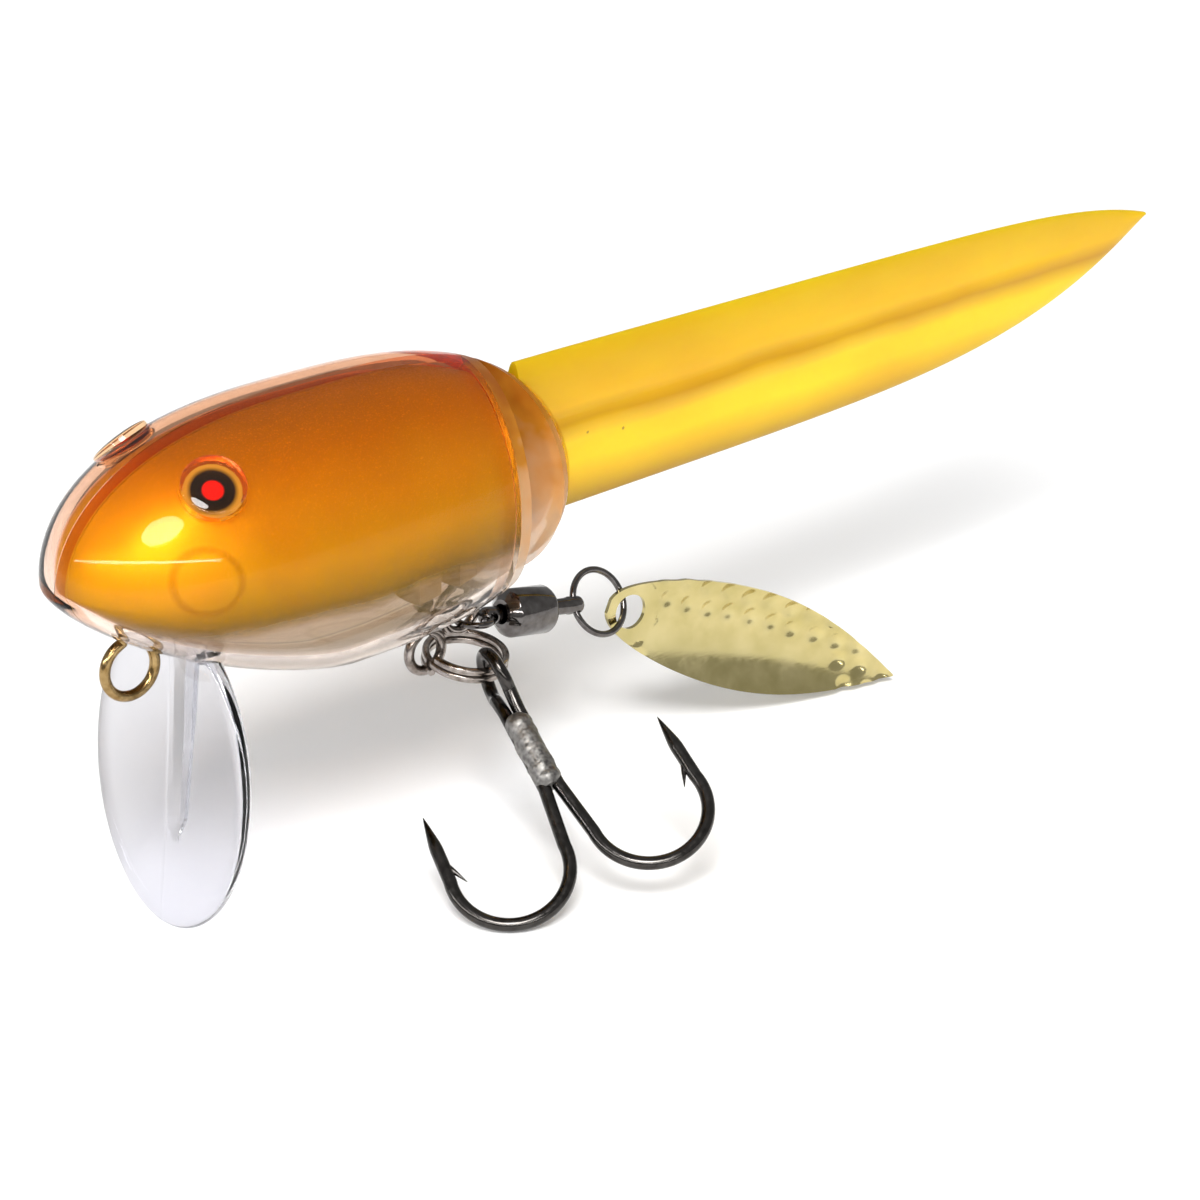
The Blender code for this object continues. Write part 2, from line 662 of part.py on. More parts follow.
def split_ring():
    """Two turns of flat wire wound side by side."""
    centre, first, second, normal = split_ring_axes()
    strand = SPLIT_RING_STRAND
    pitch = strand + SPLIT_RING_GAP
    steps_per_turn = 30
    steps = SPLIT_RING_TURNS * steps_per_turn - 1
    rings = []
    for i in range(steps + 1):
        angle = 2 * math.pi * i / steps_per_turn + SPLIT_RING_END
        out = first * math.cos(angle) + second * math.sin(angle)
        level = normal * pitch * (i / steps_per_turn - SPLIT_RING_TURNS / 2)
        middle = centre + out * SPLIT_RING_RADIUS + level
        rings.append([middle + out * a * strand / 2 + normal * b * strand / 2
                      for a, b in ((-1, -1), (1, -1), (1, 1), (-1, 1))])
    add_object("hook_split_ring", skin(rings), "black_nickel", SPLIT_RING_FRONT)


def hook_axes():
    """Where the hook hangs on the ring, and its own eye centre, downward, sideways and face directions."""
    centre, first, second, _ = split_ring_axes()
    seat = centre + (first * math.cos(HOOK_ON_RING) + second * math.sin(HOOK_ON_RING)) * SPLIT_RING_RADIUS
    level = Vector((math.cos(HOOK_HEADING), math.sin(HOOK_HEADING), 0))
    down = level * math.cos(HOOK_PITCH) - Vector((0, 0, math.sin(HOOK_PITCH)))
    flat_side = Vector((-math.sin(HOOK_HEADING), math.cos(HOOK_HEADING), 0))
    sideways = flat_side * math.cos(HOOK_ROLL) + down.cross(flat_side) * math.sin(HOOK_ROLL)
    return seat, seat + down * HOOK_EYE_DROP, down, sideways, down.cross(sideways)


def hook_leg():
    """Points (sideways, down, face) and radii from the top of one shank to its point."""
    bend_level = HOOK_LENGTH - HOOK_BEND_RADIUS
    inner = SHANK_OFFSET + HOOK_SPREAD
    points = [
        (SHANK_OFFSET, BRAZE_START, 0.0),
        (SHANK_OFFSET, BRAZE_END, 0.0),
        (inner - 0.3 * HOOK_SPREAD, bend_level - HOOK_WIRE * 3, 0.0),
    ]
    bend_steps = 14
    for i in range(bend_steps + 1):
        angle = HOOK_POINT_TURN * i / bend_steps
        points.append((inner + HOOK_BEND_RADIUS * (1 - math.cos(angle)),
                       bend_level + HOOK_BEND_RADIUS * math.sin(angle), 0.0))
    radii = [HOOK_WIRE] * len(points)
    last = points[-1]
    for part, radius in POINT_TAPER:
        reach = HOOK_POINT_LENGTH * part
        points.append((last[0] + 0.3 * reach * math.sin(HOOK_POINT_TURN), last[1] - reach, 0.0))
        radii.append(HOOK_WIRE * radius)
    return points, radii


def hook_eye():
    """The loop between the shanks, in the plane square to the bends."""
    steps = 14
    loop = []
    for i in range(steps + 1):
        share = 2 * i / steps - 1
        angle = share * (math.pi - HOOK_EYE_GAP)
        loop.append((share * SHANK_OFFSET,
                     -HOOK_EYE_RADIUS * math.cos(angle),
                     HOOK_EYE_RADIUS * math.sin(angle)))
    return loop


def double_hook():
    """One wire with a bend at each end, brazed together below the eye."""
    seat, eye, down, sideways, face = hook_axes()

    def place(point):
        return eye + sideways * point[0] + down * point[1] + face * point[2]

    leg, radii = hook_leg()
    loop = hook_eye()
    path = [(-x, y, z) for x, y, z in reversed(leg)] + loop + leg
    path_radii = radii[::-1] + [HOOK_WIRE] * len(loop) + radii
    hook = add_object("double_hook", wire([place(p) for p in path], path_radii, 8), "black_nickel", seat)
    braze = turned(eye + down * BRAZE_START, down, [
        (0.0, 0.5 * BRAZE_RADIUS),
        (BRAZE_TAPER, BRAZE_RADIUS),
        (BRAZE_END - BRAZE_START - BRAZE_TAPER, BRAZE_RADIUS),
        (BRAZE_END - BRAZE_START, 0.5 * BRAZE_RADIUS),
    ], 12)
    join(hook, add_object("tool_braze", braze))
    for sign, label in ((-1, "left"), (1, "right")):
        across, along, _ = leg[-len(POINT_TAPER)]
        root = place((sign * across, along, 0.0))
        tip = place((sign * (across - BARB_SPREAD), along + BARB_LENGTH, 0.0))
        barb = cylinder(root, tip, BARB_ROOT_RADIUS, 5, BARB_TIP_RADIUS)
        join(hook, add_object(f"tool_barb_{label}", barb))


# ---------------------------------------------------------------- swivel

def swivel_axes():
    """Front hole, axis, sideways and upward directions of the swivel."""
    reach = 2 * SWIVEL_RING_RADIUS
    hole = SWIVEL_RING_FRONT + Vector((math.cos(SWIVEL_RING_TILT), 0, -math.sin(SWIVEL_RING_TILT))) * reach
    axis = Vector((math.cos(SWIVEL_TILT), 0, -math.sin(SWIVEL_TILT)))
    upward = Vector((math.sin(SWIVEL_TILT), 0, math.cos(SWIVEL_TILT)))
    return hole, axis, Vector((0, 1, 0)), upward


def swivel_front_ring():
    direction = Vector((math.cos(SWIVEL_RING_TILT), 0, -math.sin(SWIVEL_RING_TILT)))
    centre = SWIVEL_RING_FRONT + direction * SWIVEL_RING_RADIUS
    bm = round_ring(centre, direction, Vector((0, 1, 0)), SWIVEL_RING_RADIUS, SWIVEL_WIRE)
    add_object("swivel_front_ring", bm, "black_nickel", SWIVEL_RING_FRONT)


def stem(name, hole, axis, hole_axis, head_start):
    """A swivel stem: round nose with a cross hole, shaft and the head that the barrel keeps in."""
    profile = [
        (-STEM_NOSE, 0.5 * STEM_RADIUS),
        (-0.7 * STEM_NOSE, STEM_RADIUS),
        (head_start, STEM_RADIUS),
        (head_start, STEM_HEAD_RADIUS),
        (head_start + STEM_HEAD_LENGTH, STEM_HEAD_RADIUS),
    ]
    part = add_object(name, turned(hole, axis, profile, 16), "black_nickel", hole)
    bore = cylinder(hole - hole_axis * CUT_REACH, hole + hole_axis * CUT_REACH, STEM_HOLE_RADIUS, 12)
    cut(part, add_object(f"tool_hole_{name}", bore))


def barrel():
    """The barrel: chamfered outside, with a bore that closes to a neck at each end."""
    hole, axis, _, _ = swivel_axes()
    start = BARREL_START
    end = BARREL_START + BARREL_LENGTH
    neck = STEM_RADIUS + RUNNING_GAP
    outer = [
        (start, neck),
        (start, BARREL_RADIUS - BARREL_CHAMFER),
        (start + BARREL_CHAMFER, BARREL_RADIUS),
        (end - BARREL_CHAMFER, BARREL_RADIUS),
        (end, BARREL_RADIUS - BARREL_CHAMFER),
        (end, neck),
        (end - BARREL_WALL, neck),
        (end - BARREL_WALL, BARREL_BORE),
        (start + BARREL_WALL, BARREL_BORE),
        (start + BARREL_WALL, neck),
    ]
    side, other = frame_axes(axis)
    count = 24
    rings = []
    for i in range(count):
        angle = 2 * math.pi * i / count
        out = side * math.cos(angle) + other * math.sin(angle)
        rings.append([hole + axis * along + out * radius for along, radius in outer])
    add_object("swivel_barrel", skin(rings, closed=True), "black_nickel", hole)


def bearing_balls():
    hole, axis, sideways, upward = swivel_axes()
    seat = BARREL_START + BARREL_LENGTH - BARREL_WALL - BALL_RADIUS - RUNNING_GAP
    for i in range(BALL_COUNT):
        angle = 2 * math.pi * i / BALL_COUNT
        place = hole + axis * seat + (sideways * math.cos(angle) + upward * math.sin(angle)) * BALL_CIRCLE
        bm = bmesh.new()
        bmesh.ops.create_icosphere(bm, subdivisions=1, radius=BALL_RADIUS, matrix=Matrix.Translation(place))
        add_object(f"swivel_ball_{i + 1}", bm, "steel", hole + axis * seat)


def rear_ring_axes():
    """Rear hole, its axis, the swivel's axis, and the ring plane's second direction."""
    hole, axis, sideways, upward = swivel_axes()
    rear_hole = hole + axis * REAR_HOLE
    tangent = upward * math.cos(REAR_RING_ROLL) + sideways * math.sin(REAR_RING_ROLL)
    across = tangent.cross(axis)
    outward_dir = axis * math.cos(REAR_RING_SWING) + across * math.sin(REAR_RING_SWING)
    return rear_hole, tangent, axis, outward_dir


def swivel_stems():
    hole, axis, sideways, _ = swivel_axes()
    head_start = BARREL_START + BARREL_WALL + RUNNING_GAP
    stem("swivel_front_stem", hole, axis, sideways, head_start)
    rear_hole, tangent, _, _ = rear_ring_axes()
    back_to_wall = REAR_HOLE - (BARREL_START + BARREL_LENGTH - BARREL_WALL)
    head_start = back_to_wall + 2 * (BALL_RADIUS + RUNNING_GAP)
    stem("swivel_rear_stem", rear_hole, -axis, tangent, head_start)


def rear_ring():
    rear_hole, tangent, _, direction = rear_ring_axes()
    centre = rear_hole + direction * REAR_RING_RADIUS
    bm = round_ring(centre, direction, tangent, REAR_RING_RADIUS, SWIVEL_WIRE, 28)
    add_object("swivel_rear_ring", bm, "black_nickel", rear_hole)


# ---------------------------------------------------------------- blade

def blade_axes():
    """Hinge point on the ring, hole centre, and the blade's length, width and face directions."""
    rear_hole, tangent, _, direction = rear_ring_axes()
    centre = rear_hole + direction * REAR_RING_RADIUS
    outward_dir = direction * math.cos(BLADE_HOLE_SWING) + tangent * math.sin(BLADE_HOLE_SWING)
    seat = centre + outward_dir * REAR_RING_RADIUS
    reach = BLADE_LENGTH - BLADE_HOLE_OFFSET
    drop = (seat.z - FLOOR_Z - 2 * BLADE_THICKNESS) / reach
    level = math.sqrt(1 - drop ** 2)
    length = Vector((level * math.cos(BLADE_HEADING), level * math.sin(BLADE_HEADING), -drop))
    flat_normal = Vector((math.sin(BLADE_HEADING), -math.cos(BLADE_HEADING), 0))
    normal = Matrix.Rotation(BLADE_ROLL, 3, length) @ flat_normal
    return seat, seat + length * BLADE_HANG, length, normal.cross(length), normal


def blade():
    """A willow leaf, cupped across its width and length."""
    seat, hole, length, width, normal = blade_axes()
    stations = 18
    steps = 6
    rings = []
    for i in range(stations + 1):
        t = 0.004 + 0.992 * i / stations
        along = t * BLADE_LENGTH - BLADE_HOLE_OFFSET
        half = BLADE_WIDTH / 2 * math.sin(math.pi * t ** 0.88) ** (0.5 + 0.45 * t)
        face, back = [], []
        for k in range(steps + 1):
            v = 2 * k / steps - 1
            depth = BLADE_CUP * (1 - v * v) * math.sin(math.pi * t) ** 1.5
            point = hole + length * along + width * (v * half) - normal * depth
            face.append(point + normal * BLADE_THICKNESS / 2)
            back.append(point - normal * BLADE_THICKNESS / 2)
        rings.append(face + back[::-1])
    part = add_object("spinner_blade", skin(rings), "brass", seat)
    bore = cylinder(hole - normal * CUT_REACH, hole + normal * CUT_REACH, BLADE_HOLE_RADIUS, 18)
    cut(part, add_object("tool_blade_hole", bore))


# ---------------------------------------------------------------- assembly

clear_scene()
MATERIALS = {name: make_material(name) for name in COLOURS}
for side, label in ((-1, "left"), (1, "right")):
    front_shell(side, label)
    eye(side, label)
    rear_shell(side, label)
for name, centre, radius, anchor in wire_eye_places():
    wire_eye(name, centre, radius, anchor)
rattle_ball()
joint_pin()
soft_tail()
split_ring()
double_hook()
swivel_front_ring()
swivel_stems()
barrel()
bearing_balls()
rear_ring()
blade()
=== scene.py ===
"""Looks of the jointed tadpole lure: clear shells over a painted core, soft tail, hardware and studio.

Metres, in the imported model's frame: the origin is the line tie's eye, +X runs from nose to tail.
"""
import json
from math import copysign, cos, exp, hypot, pi, radians, sin, sqrt, tan

import bmesh
import bpy
from mathutils import Matrix, Vector, noise


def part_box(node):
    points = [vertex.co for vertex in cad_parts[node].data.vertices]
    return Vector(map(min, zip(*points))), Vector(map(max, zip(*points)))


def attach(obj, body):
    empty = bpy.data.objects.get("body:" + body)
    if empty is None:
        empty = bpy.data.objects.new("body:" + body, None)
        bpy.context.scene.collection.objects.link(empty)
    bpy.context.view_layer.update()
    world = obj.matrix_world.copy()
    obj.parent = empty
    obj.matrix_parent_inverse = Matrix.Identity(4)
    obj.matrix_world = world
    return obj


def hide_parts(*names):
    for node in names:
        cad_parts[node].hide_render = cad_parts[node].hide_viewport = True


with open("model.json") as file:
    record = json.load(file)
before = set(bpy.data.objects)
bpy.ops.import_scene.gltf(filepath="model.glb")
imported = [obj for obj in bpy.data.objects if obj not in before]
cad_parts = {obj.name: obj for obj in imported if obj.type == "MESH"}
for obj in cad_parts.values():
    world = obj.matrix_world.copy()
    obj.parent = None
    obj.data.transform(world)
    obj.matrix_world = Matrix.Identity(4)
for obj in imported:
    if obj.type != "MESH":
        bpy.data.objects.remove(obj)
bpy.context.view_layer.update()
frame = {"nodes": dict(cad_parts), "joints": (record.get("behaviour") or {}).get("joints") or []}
JOINTS = {joint["name"]: joint for joint in frame["joints"]}
NODES = frame["nodes"]
MATERIALS = {}

SMOOTH_ANGLE = radians(40)
CUT_REACH = 0.003

# Body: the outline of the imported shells
NOSE_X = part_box("front_shell_left")[0].x
TOP_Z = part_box("front_shell_left")[1].z
FLOOR_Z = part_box("front_shell_left")[0].z
REAR_X = 0.0403
WIDEST_X = 0.0166
BODY_AXIS_Z = JOINTS["body_joint"]["pos_m"][2]
PIN_X = JOINTS["body_joint"]["pos_m"][0]
BODY_RADIUS = TOP_Z - BODY_AXIS_Z
WIDTH_RATIO = 0.96
NOSE_POWER = 2.56
CHIN_POWER = 1.3
CHIN_ROOT = 0.72
REAR_POWER = 3.05
WALL = 0.0011
SEAM_GAP = 0.00006
FRONT_END_X = PIN_X - 0.0003
FRONT_END_LEAN = -tan(radians(14))
REAR_START_X = PIN_X + 0.0004
REAR_START_LEAN = tan(radians(16))
PLATE = 0.0012
PLATE_GAP = 0.00003
KNUCKLE_RADIUS = 0.0016
KNUCKLE_LOW_Z = 0.0054
KNUCKLE_HIGH_Z = 0.0106
KNUCKLE_ROOM = 0.0002
LUG_THICKNESS = 0.0012
LUG_ROOT = 0.5 * PLATE
KNUCKLE_ROOT = 1.8 * PLATE
REAR_GRID = (24, 32)
PAINT_DEPTH = WALL + 0.00012
PAINT_THICKNESS = 0.00018
# Centre of the lighter gold patch painted on the cheek as a highlight
CHEEK_HIGHLIGHT_PLACE = (-0.0005, 0.0060, 0.0120)

# Lip: an oval plate with a rib behind its middle
LIP_LEAN = radians(5.6)
LIP_TIP_X = 0.0020
LIP_HALF_WIDTH = 0.00945
LIP_HALF_HEIGHT = 0.0124
LIP_HALF_THICK = 0.0007
LIP_ROUND_FROM = 0.93
LIP_DISH = 0.00025
RIB_LOW_Z = FLOOR_Z + 0.0081
RIB_HIGH_Z = BODY_AXIS_Z - 0.0062
RIB_DEPTH = 0.0016
RIB_LOW_DEPTH = 0.0009
RIB_END_LENGTH = 0.0016
RIB_HALF_WIDTH = 0.00075
RIB_LOW_WIDTH_SHARE = 0.65
RIB_FLANK_SHARE = 0.3
FINE_COLUMNS_REACH = 1.5 * RIB_HALF_WIDTH
FINE_COLUMNS_SHARE = 0.6
SEAM_WIDTH = 0.00012
SEAM_DEPTH = 0.00008
LIP_IN_SHELL = 0.0003

# Eyes
EYE_CENTRE = (0.0042, 0.00595, 0.01515)
DOME_RADIUS = 0.0024
DOME_HEIGHT = 0.0004
SOCKET_DEPTH = 0.0010
SOCKET_POCKET = 0.00025
SOCKET_ROOM = 0.0001
SOCKET_REACH = 0.0042
LENS_BASE = SOCKET_DEPTH + 0.00006
FOIL_RADIUS = 0.0021

# Wire eyes: radius of the loop, and how far above it the twist ends
EYE_WIRE = 0.00042
LINE_TIE_RADIUS = 0.0022
HANGER_RADIUS = 0.00165
LINE_TIE_NECK = 0.0048
HANGER_NECK = 0.0046
TWIST_PITCH = 0.0034
TWIST_ABOVE_LOOP = 1.1 * EYE_WIRE
LOOP_OPENING = 1.35 * EYE_WIRE

# Inside the front section
RATTLE_X = 0.0022
RATTLE_Z = 0.0086
RATTLE_BOSS_RADIUS = 0.0023
RATTLE_HALF_LENGTH = 0.0090
RATTLE_WALL = 0.0006
POST_FOOT_Z = -0.0060
# Posts that hold the wire eyes: name, x, half length, half width and top
POSTS = (
    ("line_tie_post", 0.0, 0.0014, 0.0016, 0.0066),
    ("hook_hanger_post", 0.0270, 0.0011, 0.0016, 0.0026),
    ("blade_hanger_post", 0.0310, 0.0015, 0.0022, 0.0052),
)

# Tail: a fin whose edges curl together towards its tip, with a ridge below a groove
TAIL_ROOT_X = 0.0371
TAIL_START_X = 0.0420
TAIL_LENGTH = 0.0720
TAIL_ROOT_THICKNESS = 0.0030
TAIL_TIP_THICKNESS = 0.0008
TAIL_HEIGHT_SHARE = 0.995
TAIL_RELIEF_START = 0.12
# Its edges: height at the root, rise along the fin, curl at the tip, and the curl's power
TAIL_LOW_EDGE = (0.0016, 0.0012, 0.0090, 5)
TAIL_HIGH_EDGE = (0.0152, -0.0005, -0.0026, 8)
# Its relief: level of the middle, width, and share of the thickness
RIDGE = (0.02, 0.10, 0.20)
GROOVE = (0.22, 0.07, 0.16)

# Split ring and hook
RING_RADIUS = 0.0032
RING_STRAND = 0.00060
RING_PITCH = 0.00067
RING_TURNS = 2
RING_END = radians(150)
RING_YAW = radians(-30)
RING_TILT = radians(8)
RING_ROLL = radians(9)
HOOK_HEADING = radians(-100.6)
HOOK_PITCH = radians(32.6)
HOOK_ROLL = radians(18.2)
HOOK_WIRE = 0.00054
SHANK_OFFSET = 0.00057
HOOK_EYE_RADIUS = 0.0019
HOOK_EYE_DROP = 0.00015
HOOK_EYE_GAP = radians(20)
HOOK_BEND_RADIUS = 0.00464
HOOK_SPREAD = 0.0007
HOOK_SPREAD_LEFT = 0.3
HOOK_STRAIGHT_END = 0.0015
HOOK_LENGTH = 0.0204
HOOK_POINT_TURN = radians(192)
HOOK_POINT_LENGTH = 0.0059
POINT_LEAN = 0.3
POINT_FULLNESS = 1.9
POINT_POWER = 0.9
POINT_BLUNTNESS = 0.05
BARB_SPREAD = 0.0011
BARB_LENGTH = 0.0020
BARB_STEPS_FROM_TIP = 10
BARB_SINK = 0.00010
BARB_ROOT_RISE = 0.0002
BARB_RADII = [0.00030, 0.00020, 0.00003]
BRAZE_START = 0.0040
BRAZE_END = 0.0108
BRAZE_RADIUS = 0.00112
BRAZE_OVER_WIRE = 0.0006
BRAZE_TAPER_SHARE = 0.10
BRAZE_END_SHARE = 0.62
BRAZE_LUMPS = ((1400.0, 0.00010), (4000.0, 0.00004))

# Swivel
SWIVEL_RING_RADIUS = 0.0015
SWIVEL_WIRE = 0.00028
STEM_RADIUS = 0.00075
STEM_HOLE_RADIUS = 0.00046
STEM_NOSE = 0.0008
STEM_NECK_SHARE = 0.9
# Nose outline: distance in nose lengths, radius in stem radii
STEM_PROFILE = ((-1.0, 0.0), (-1.0, 0.35), (-0.88, 0.7), (-0.6, 0.95), (-0.3, 1.0), (0.9, 1.0))
STEM_NECK_START = 1.1 * STEM_NOSE
STEM_IN_BARREL = 0.0008
BARREL_START = 0.00135
BARREL_LENGTH = 0.0052
BARREL_RADIUS = 0.0020
BARREL_CHAMFER = 0.00070
BARREL_EDGE = 0.00012
BARREL_BORE = STEM_RADIUS + 0.00010
REAR_RING_RADIUS = 0.00275

# Blade: a hammered willow leaf
BLADE_LENGTH = 0.0315
BLADE_WIDTH = 0.0090
BLADE_THICKNESS = 0.00042
BLADE_CUP = 0.0013
BLADE_HOLE_RADIUS = 0.0015
BLADE_HOLE_OFFSET = 0.0024
BLADE_HANG = 0.0007
BLADE_TIP_HEIGHT = 0.0009
BLADE_FROM = 0.003
BLADE_SHARE = 0.994
BLADE_WIDEST_POWER = 0.88
BLADE_ROOT_FULLNESS = 0.5
BLADE_TIP_SHARPNESS = 0.45
BLADE_CUP_POWER = 1.5
BLADE_HEADING = radians(-13)
BLADE_ROLL = radians(-4)
DIMPLE_SPACING = 0.0023
DIMPLE_DEPTH = 0.00028
DIMPLE_ROW_SHARE = 0.8
DIMPLE_RADIUS = 0.46 * DIMPLE_SPACING
DIMPLE_WANDER = 0.00035
DIMPLE_NOISE = (3.7, 5.3, 0.5)
MARK_SEED = 7
PLAIN_ROUND_HOLE = 0.0029
PLAIN_BELOW = 0.0004
PLAIN_FROM = 0.16
PLAIN_TO = 0.80

# Camera and light
CAMERA_PLACE = Vector((-0.1195, -0.1860, 0.1000))
CAMERA_AZIMUTH = radians(-41.7)
CAMERA_ELEVATION = radians(23.4)
LENS = 98.25
SKY_BRIGHT_SIDE = (-0.25, 0.35, 0.90)
SKY_LOW = 0.42
SKY_MIDDLE = 0.32
SKY_HIGH = 0.46
SUN_FROM = (-0.45, -0.50, 0.80)
SUN_STRENGTH = 3.0
SUN_WIDTH = radians(22)
FLOOR_HALF_SIZE = 3.0
WINDOW_PLACE = (-0.26, -0.14, 0.15)
WINDOW_WIDTH = 0.90
WINDOW_HEIGHT = 0.014
WINDOW_POWER = 1.30


# ---- mesh helpers

def skin(rings, closed=False):
    """Join rings of equal length with quads; the ends get flat caps, or are joined to each other."""
    bm = bmesh.new()
    loops = [[bm.verts.new(point) for point in ring] for ring in rings]
    count = len(loops[0])
    pairs = list(zip(loops, loops[1:]))
    if closed:
        pairs.append((loops[-1], loops[0]))
    for first, second in pairs:
        for i in range(count):
            j = (i + 1) % count
            bm.faces.new((first[i], first[j], second[j], second[i]))
    if not closed:
        bm.faces.new(loops[0])
        bm.faces.new(loops[-1])
    bmesh.ops.remove_doubles(bm, verts=bm.verts, dist=1e-7)
    return bm


def frame_axes(axis):
    """Two unit vectors square to the axis."""
    axis = Vector(axis).normalized()
    helper = Vector((0, 0, 1)) if abs(axis.z) < 0.9 else Vector((1, 0, 0))
    side = axis.cross(helper).normalized()
    return side, axis.cross(side)


def turned(origin, axis, profile, sides=48, closed=False):
    """Turn a list of (distance along the axis, radius) about the axis; a closed profile makes a tube."""
    axis = Vector(axis).normalized()
    side, other = frame_axes(axis)
    rows = [[Vector(origin) + axis * along + (side * cos(a) + other * sin(a)) * max(radius, 1e-9)
             for along, radius in profile] for a in turn_angles(sides)]
    return skin(rows, closed=True) if closed else skin(list(zip(*rows)))


def wire(points, radii, sides=16, closed=False):
    """Sweep a circle along the points, carrying its frame without twist."""
    count = len(points)
    if isinstance(radii, float):
        radii = [radii] * count
    tangents = []
    for i in range(count):
        before = points[(i - 1) % count] if closed or i > 0 else points[i]
        after = points[(i + 1) % count] if closed or i < count - 1 else points[i]
        tangents.append((after - before).normalized())
    side, _ = frame_axes(tangents[0])
    rings = []
    for i in range(count):
        side = (side - tangents[i] * side.dot(tangents[i])).normalized()
        other = tangents[i].cross(side)
        rings.append([points[i] + (side * cos(a) + other * sin(a)) * radii[i]
                      for a in turn_angles(sides)])
    return skin(rings, closed)


def pivot(joint):
    return Vector(JOINTS[joint]["pos_m"])


def turn_angles(count):
    return [2 * pi * i / count for i in range(count)]


def smooth(share):
    """Ease a share of 0 to 1 in and out, held at its ends."""
    share = min(max(share, 0.0), 1.0)
    return share * share * (3 - 2 * share)


def make_mesh(name, bm):
    """Turn a bmesh into a mesh and free it."""
    mesh = bpy.data.meshes.new(name)
    bm.to_mesh(mesh)
    bm.free()
    return mesh


def make_object(name, data):
    piece = bpy.data.objects.new(name, data)
    bpy.context.scene.collection.objects.link(piece)
    return piece


def add_piece(name, bm, material, body, stands_for=()):
    """Make a piece that rides on a body and stands for CAD nodes."""
    bmesh.ops.recalc_face_normals(bm, faces=bm.faces)
    mesh = make_mesh(name, bm)
    mesh.shade_smooth()
    mesh.set_sharp_from_angle(angle=SMOOTH_ANGLE)
    piece = make_object(name, mesh)
    mesh.materials.append(MATERIALS[material])
    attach(piece, body)
    if stands_for:
        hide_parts(*stands_for)
    return piece


def merge(target, *others):
    """Add other bmeshes to the first as separate shells."""
    for other in others:
        mesh = make_mesh("merged", other)
        target.from_mesh(mesh)
        bpy.data.meshes.remove(mesh)
    return target


def apply_boolean(piece, tool, operation):
    """Combine a piece with a tool, apply the result and remove the tool."""
    modifier = piece.modifiers.new("boolean", "BOOLEAN")
    modifier.operation = operation
    modifier.object = tool
    evaluated = piece.evaluated_get(bpy.context.evaluated_depsgraph_get())
    result = bpy.data.meshes.new_from_object(evaluated)
    piece.modifiers.clear()
    old = piece.data
    piece.data = result
    bpy.data.meshes.remove(old)
    bpy.data.objects.remove(tool)
    piece.data.shade_smooth()
    piece.data.set_sharp_from_angle(angle=SMOOTH_ANGLE)


def tool_object(bm):
    bmesh.ops.recalc_face_normals(bm, faces=bm.faces)
    return make_object("tool", make_mesh("tool", bm))


def cut(piece, bm):
    """Cut a closed bmesh out of a piece."""
    apply_boolean(piece, tool_object(bm), "DIFFERENCE")


def keep_inside(piece, bm):
    """Keep only what is inside a closed bmesh."""
    apply_boolean(piece, tool_object(bm), "INTERSECT")


# ---- materials

def add_ramp(tree, source, stops):
    """A colour ramp of (position, (r, g, b)) stops."""
    ramp = tree.nodes.new("ShaderNodeValToRGB")
    elements = ramp.color_ramp.elements
    while len(elements) < len(stops):
        elements.new(0.5)
    for element, (position, colour) in zip(elements, stops):
        element.position = position
        element.color = (*colour, 1.0)
    tree.links.new(source, ramp.inputs["Fac"])
    return ramp.outputs["Color"]


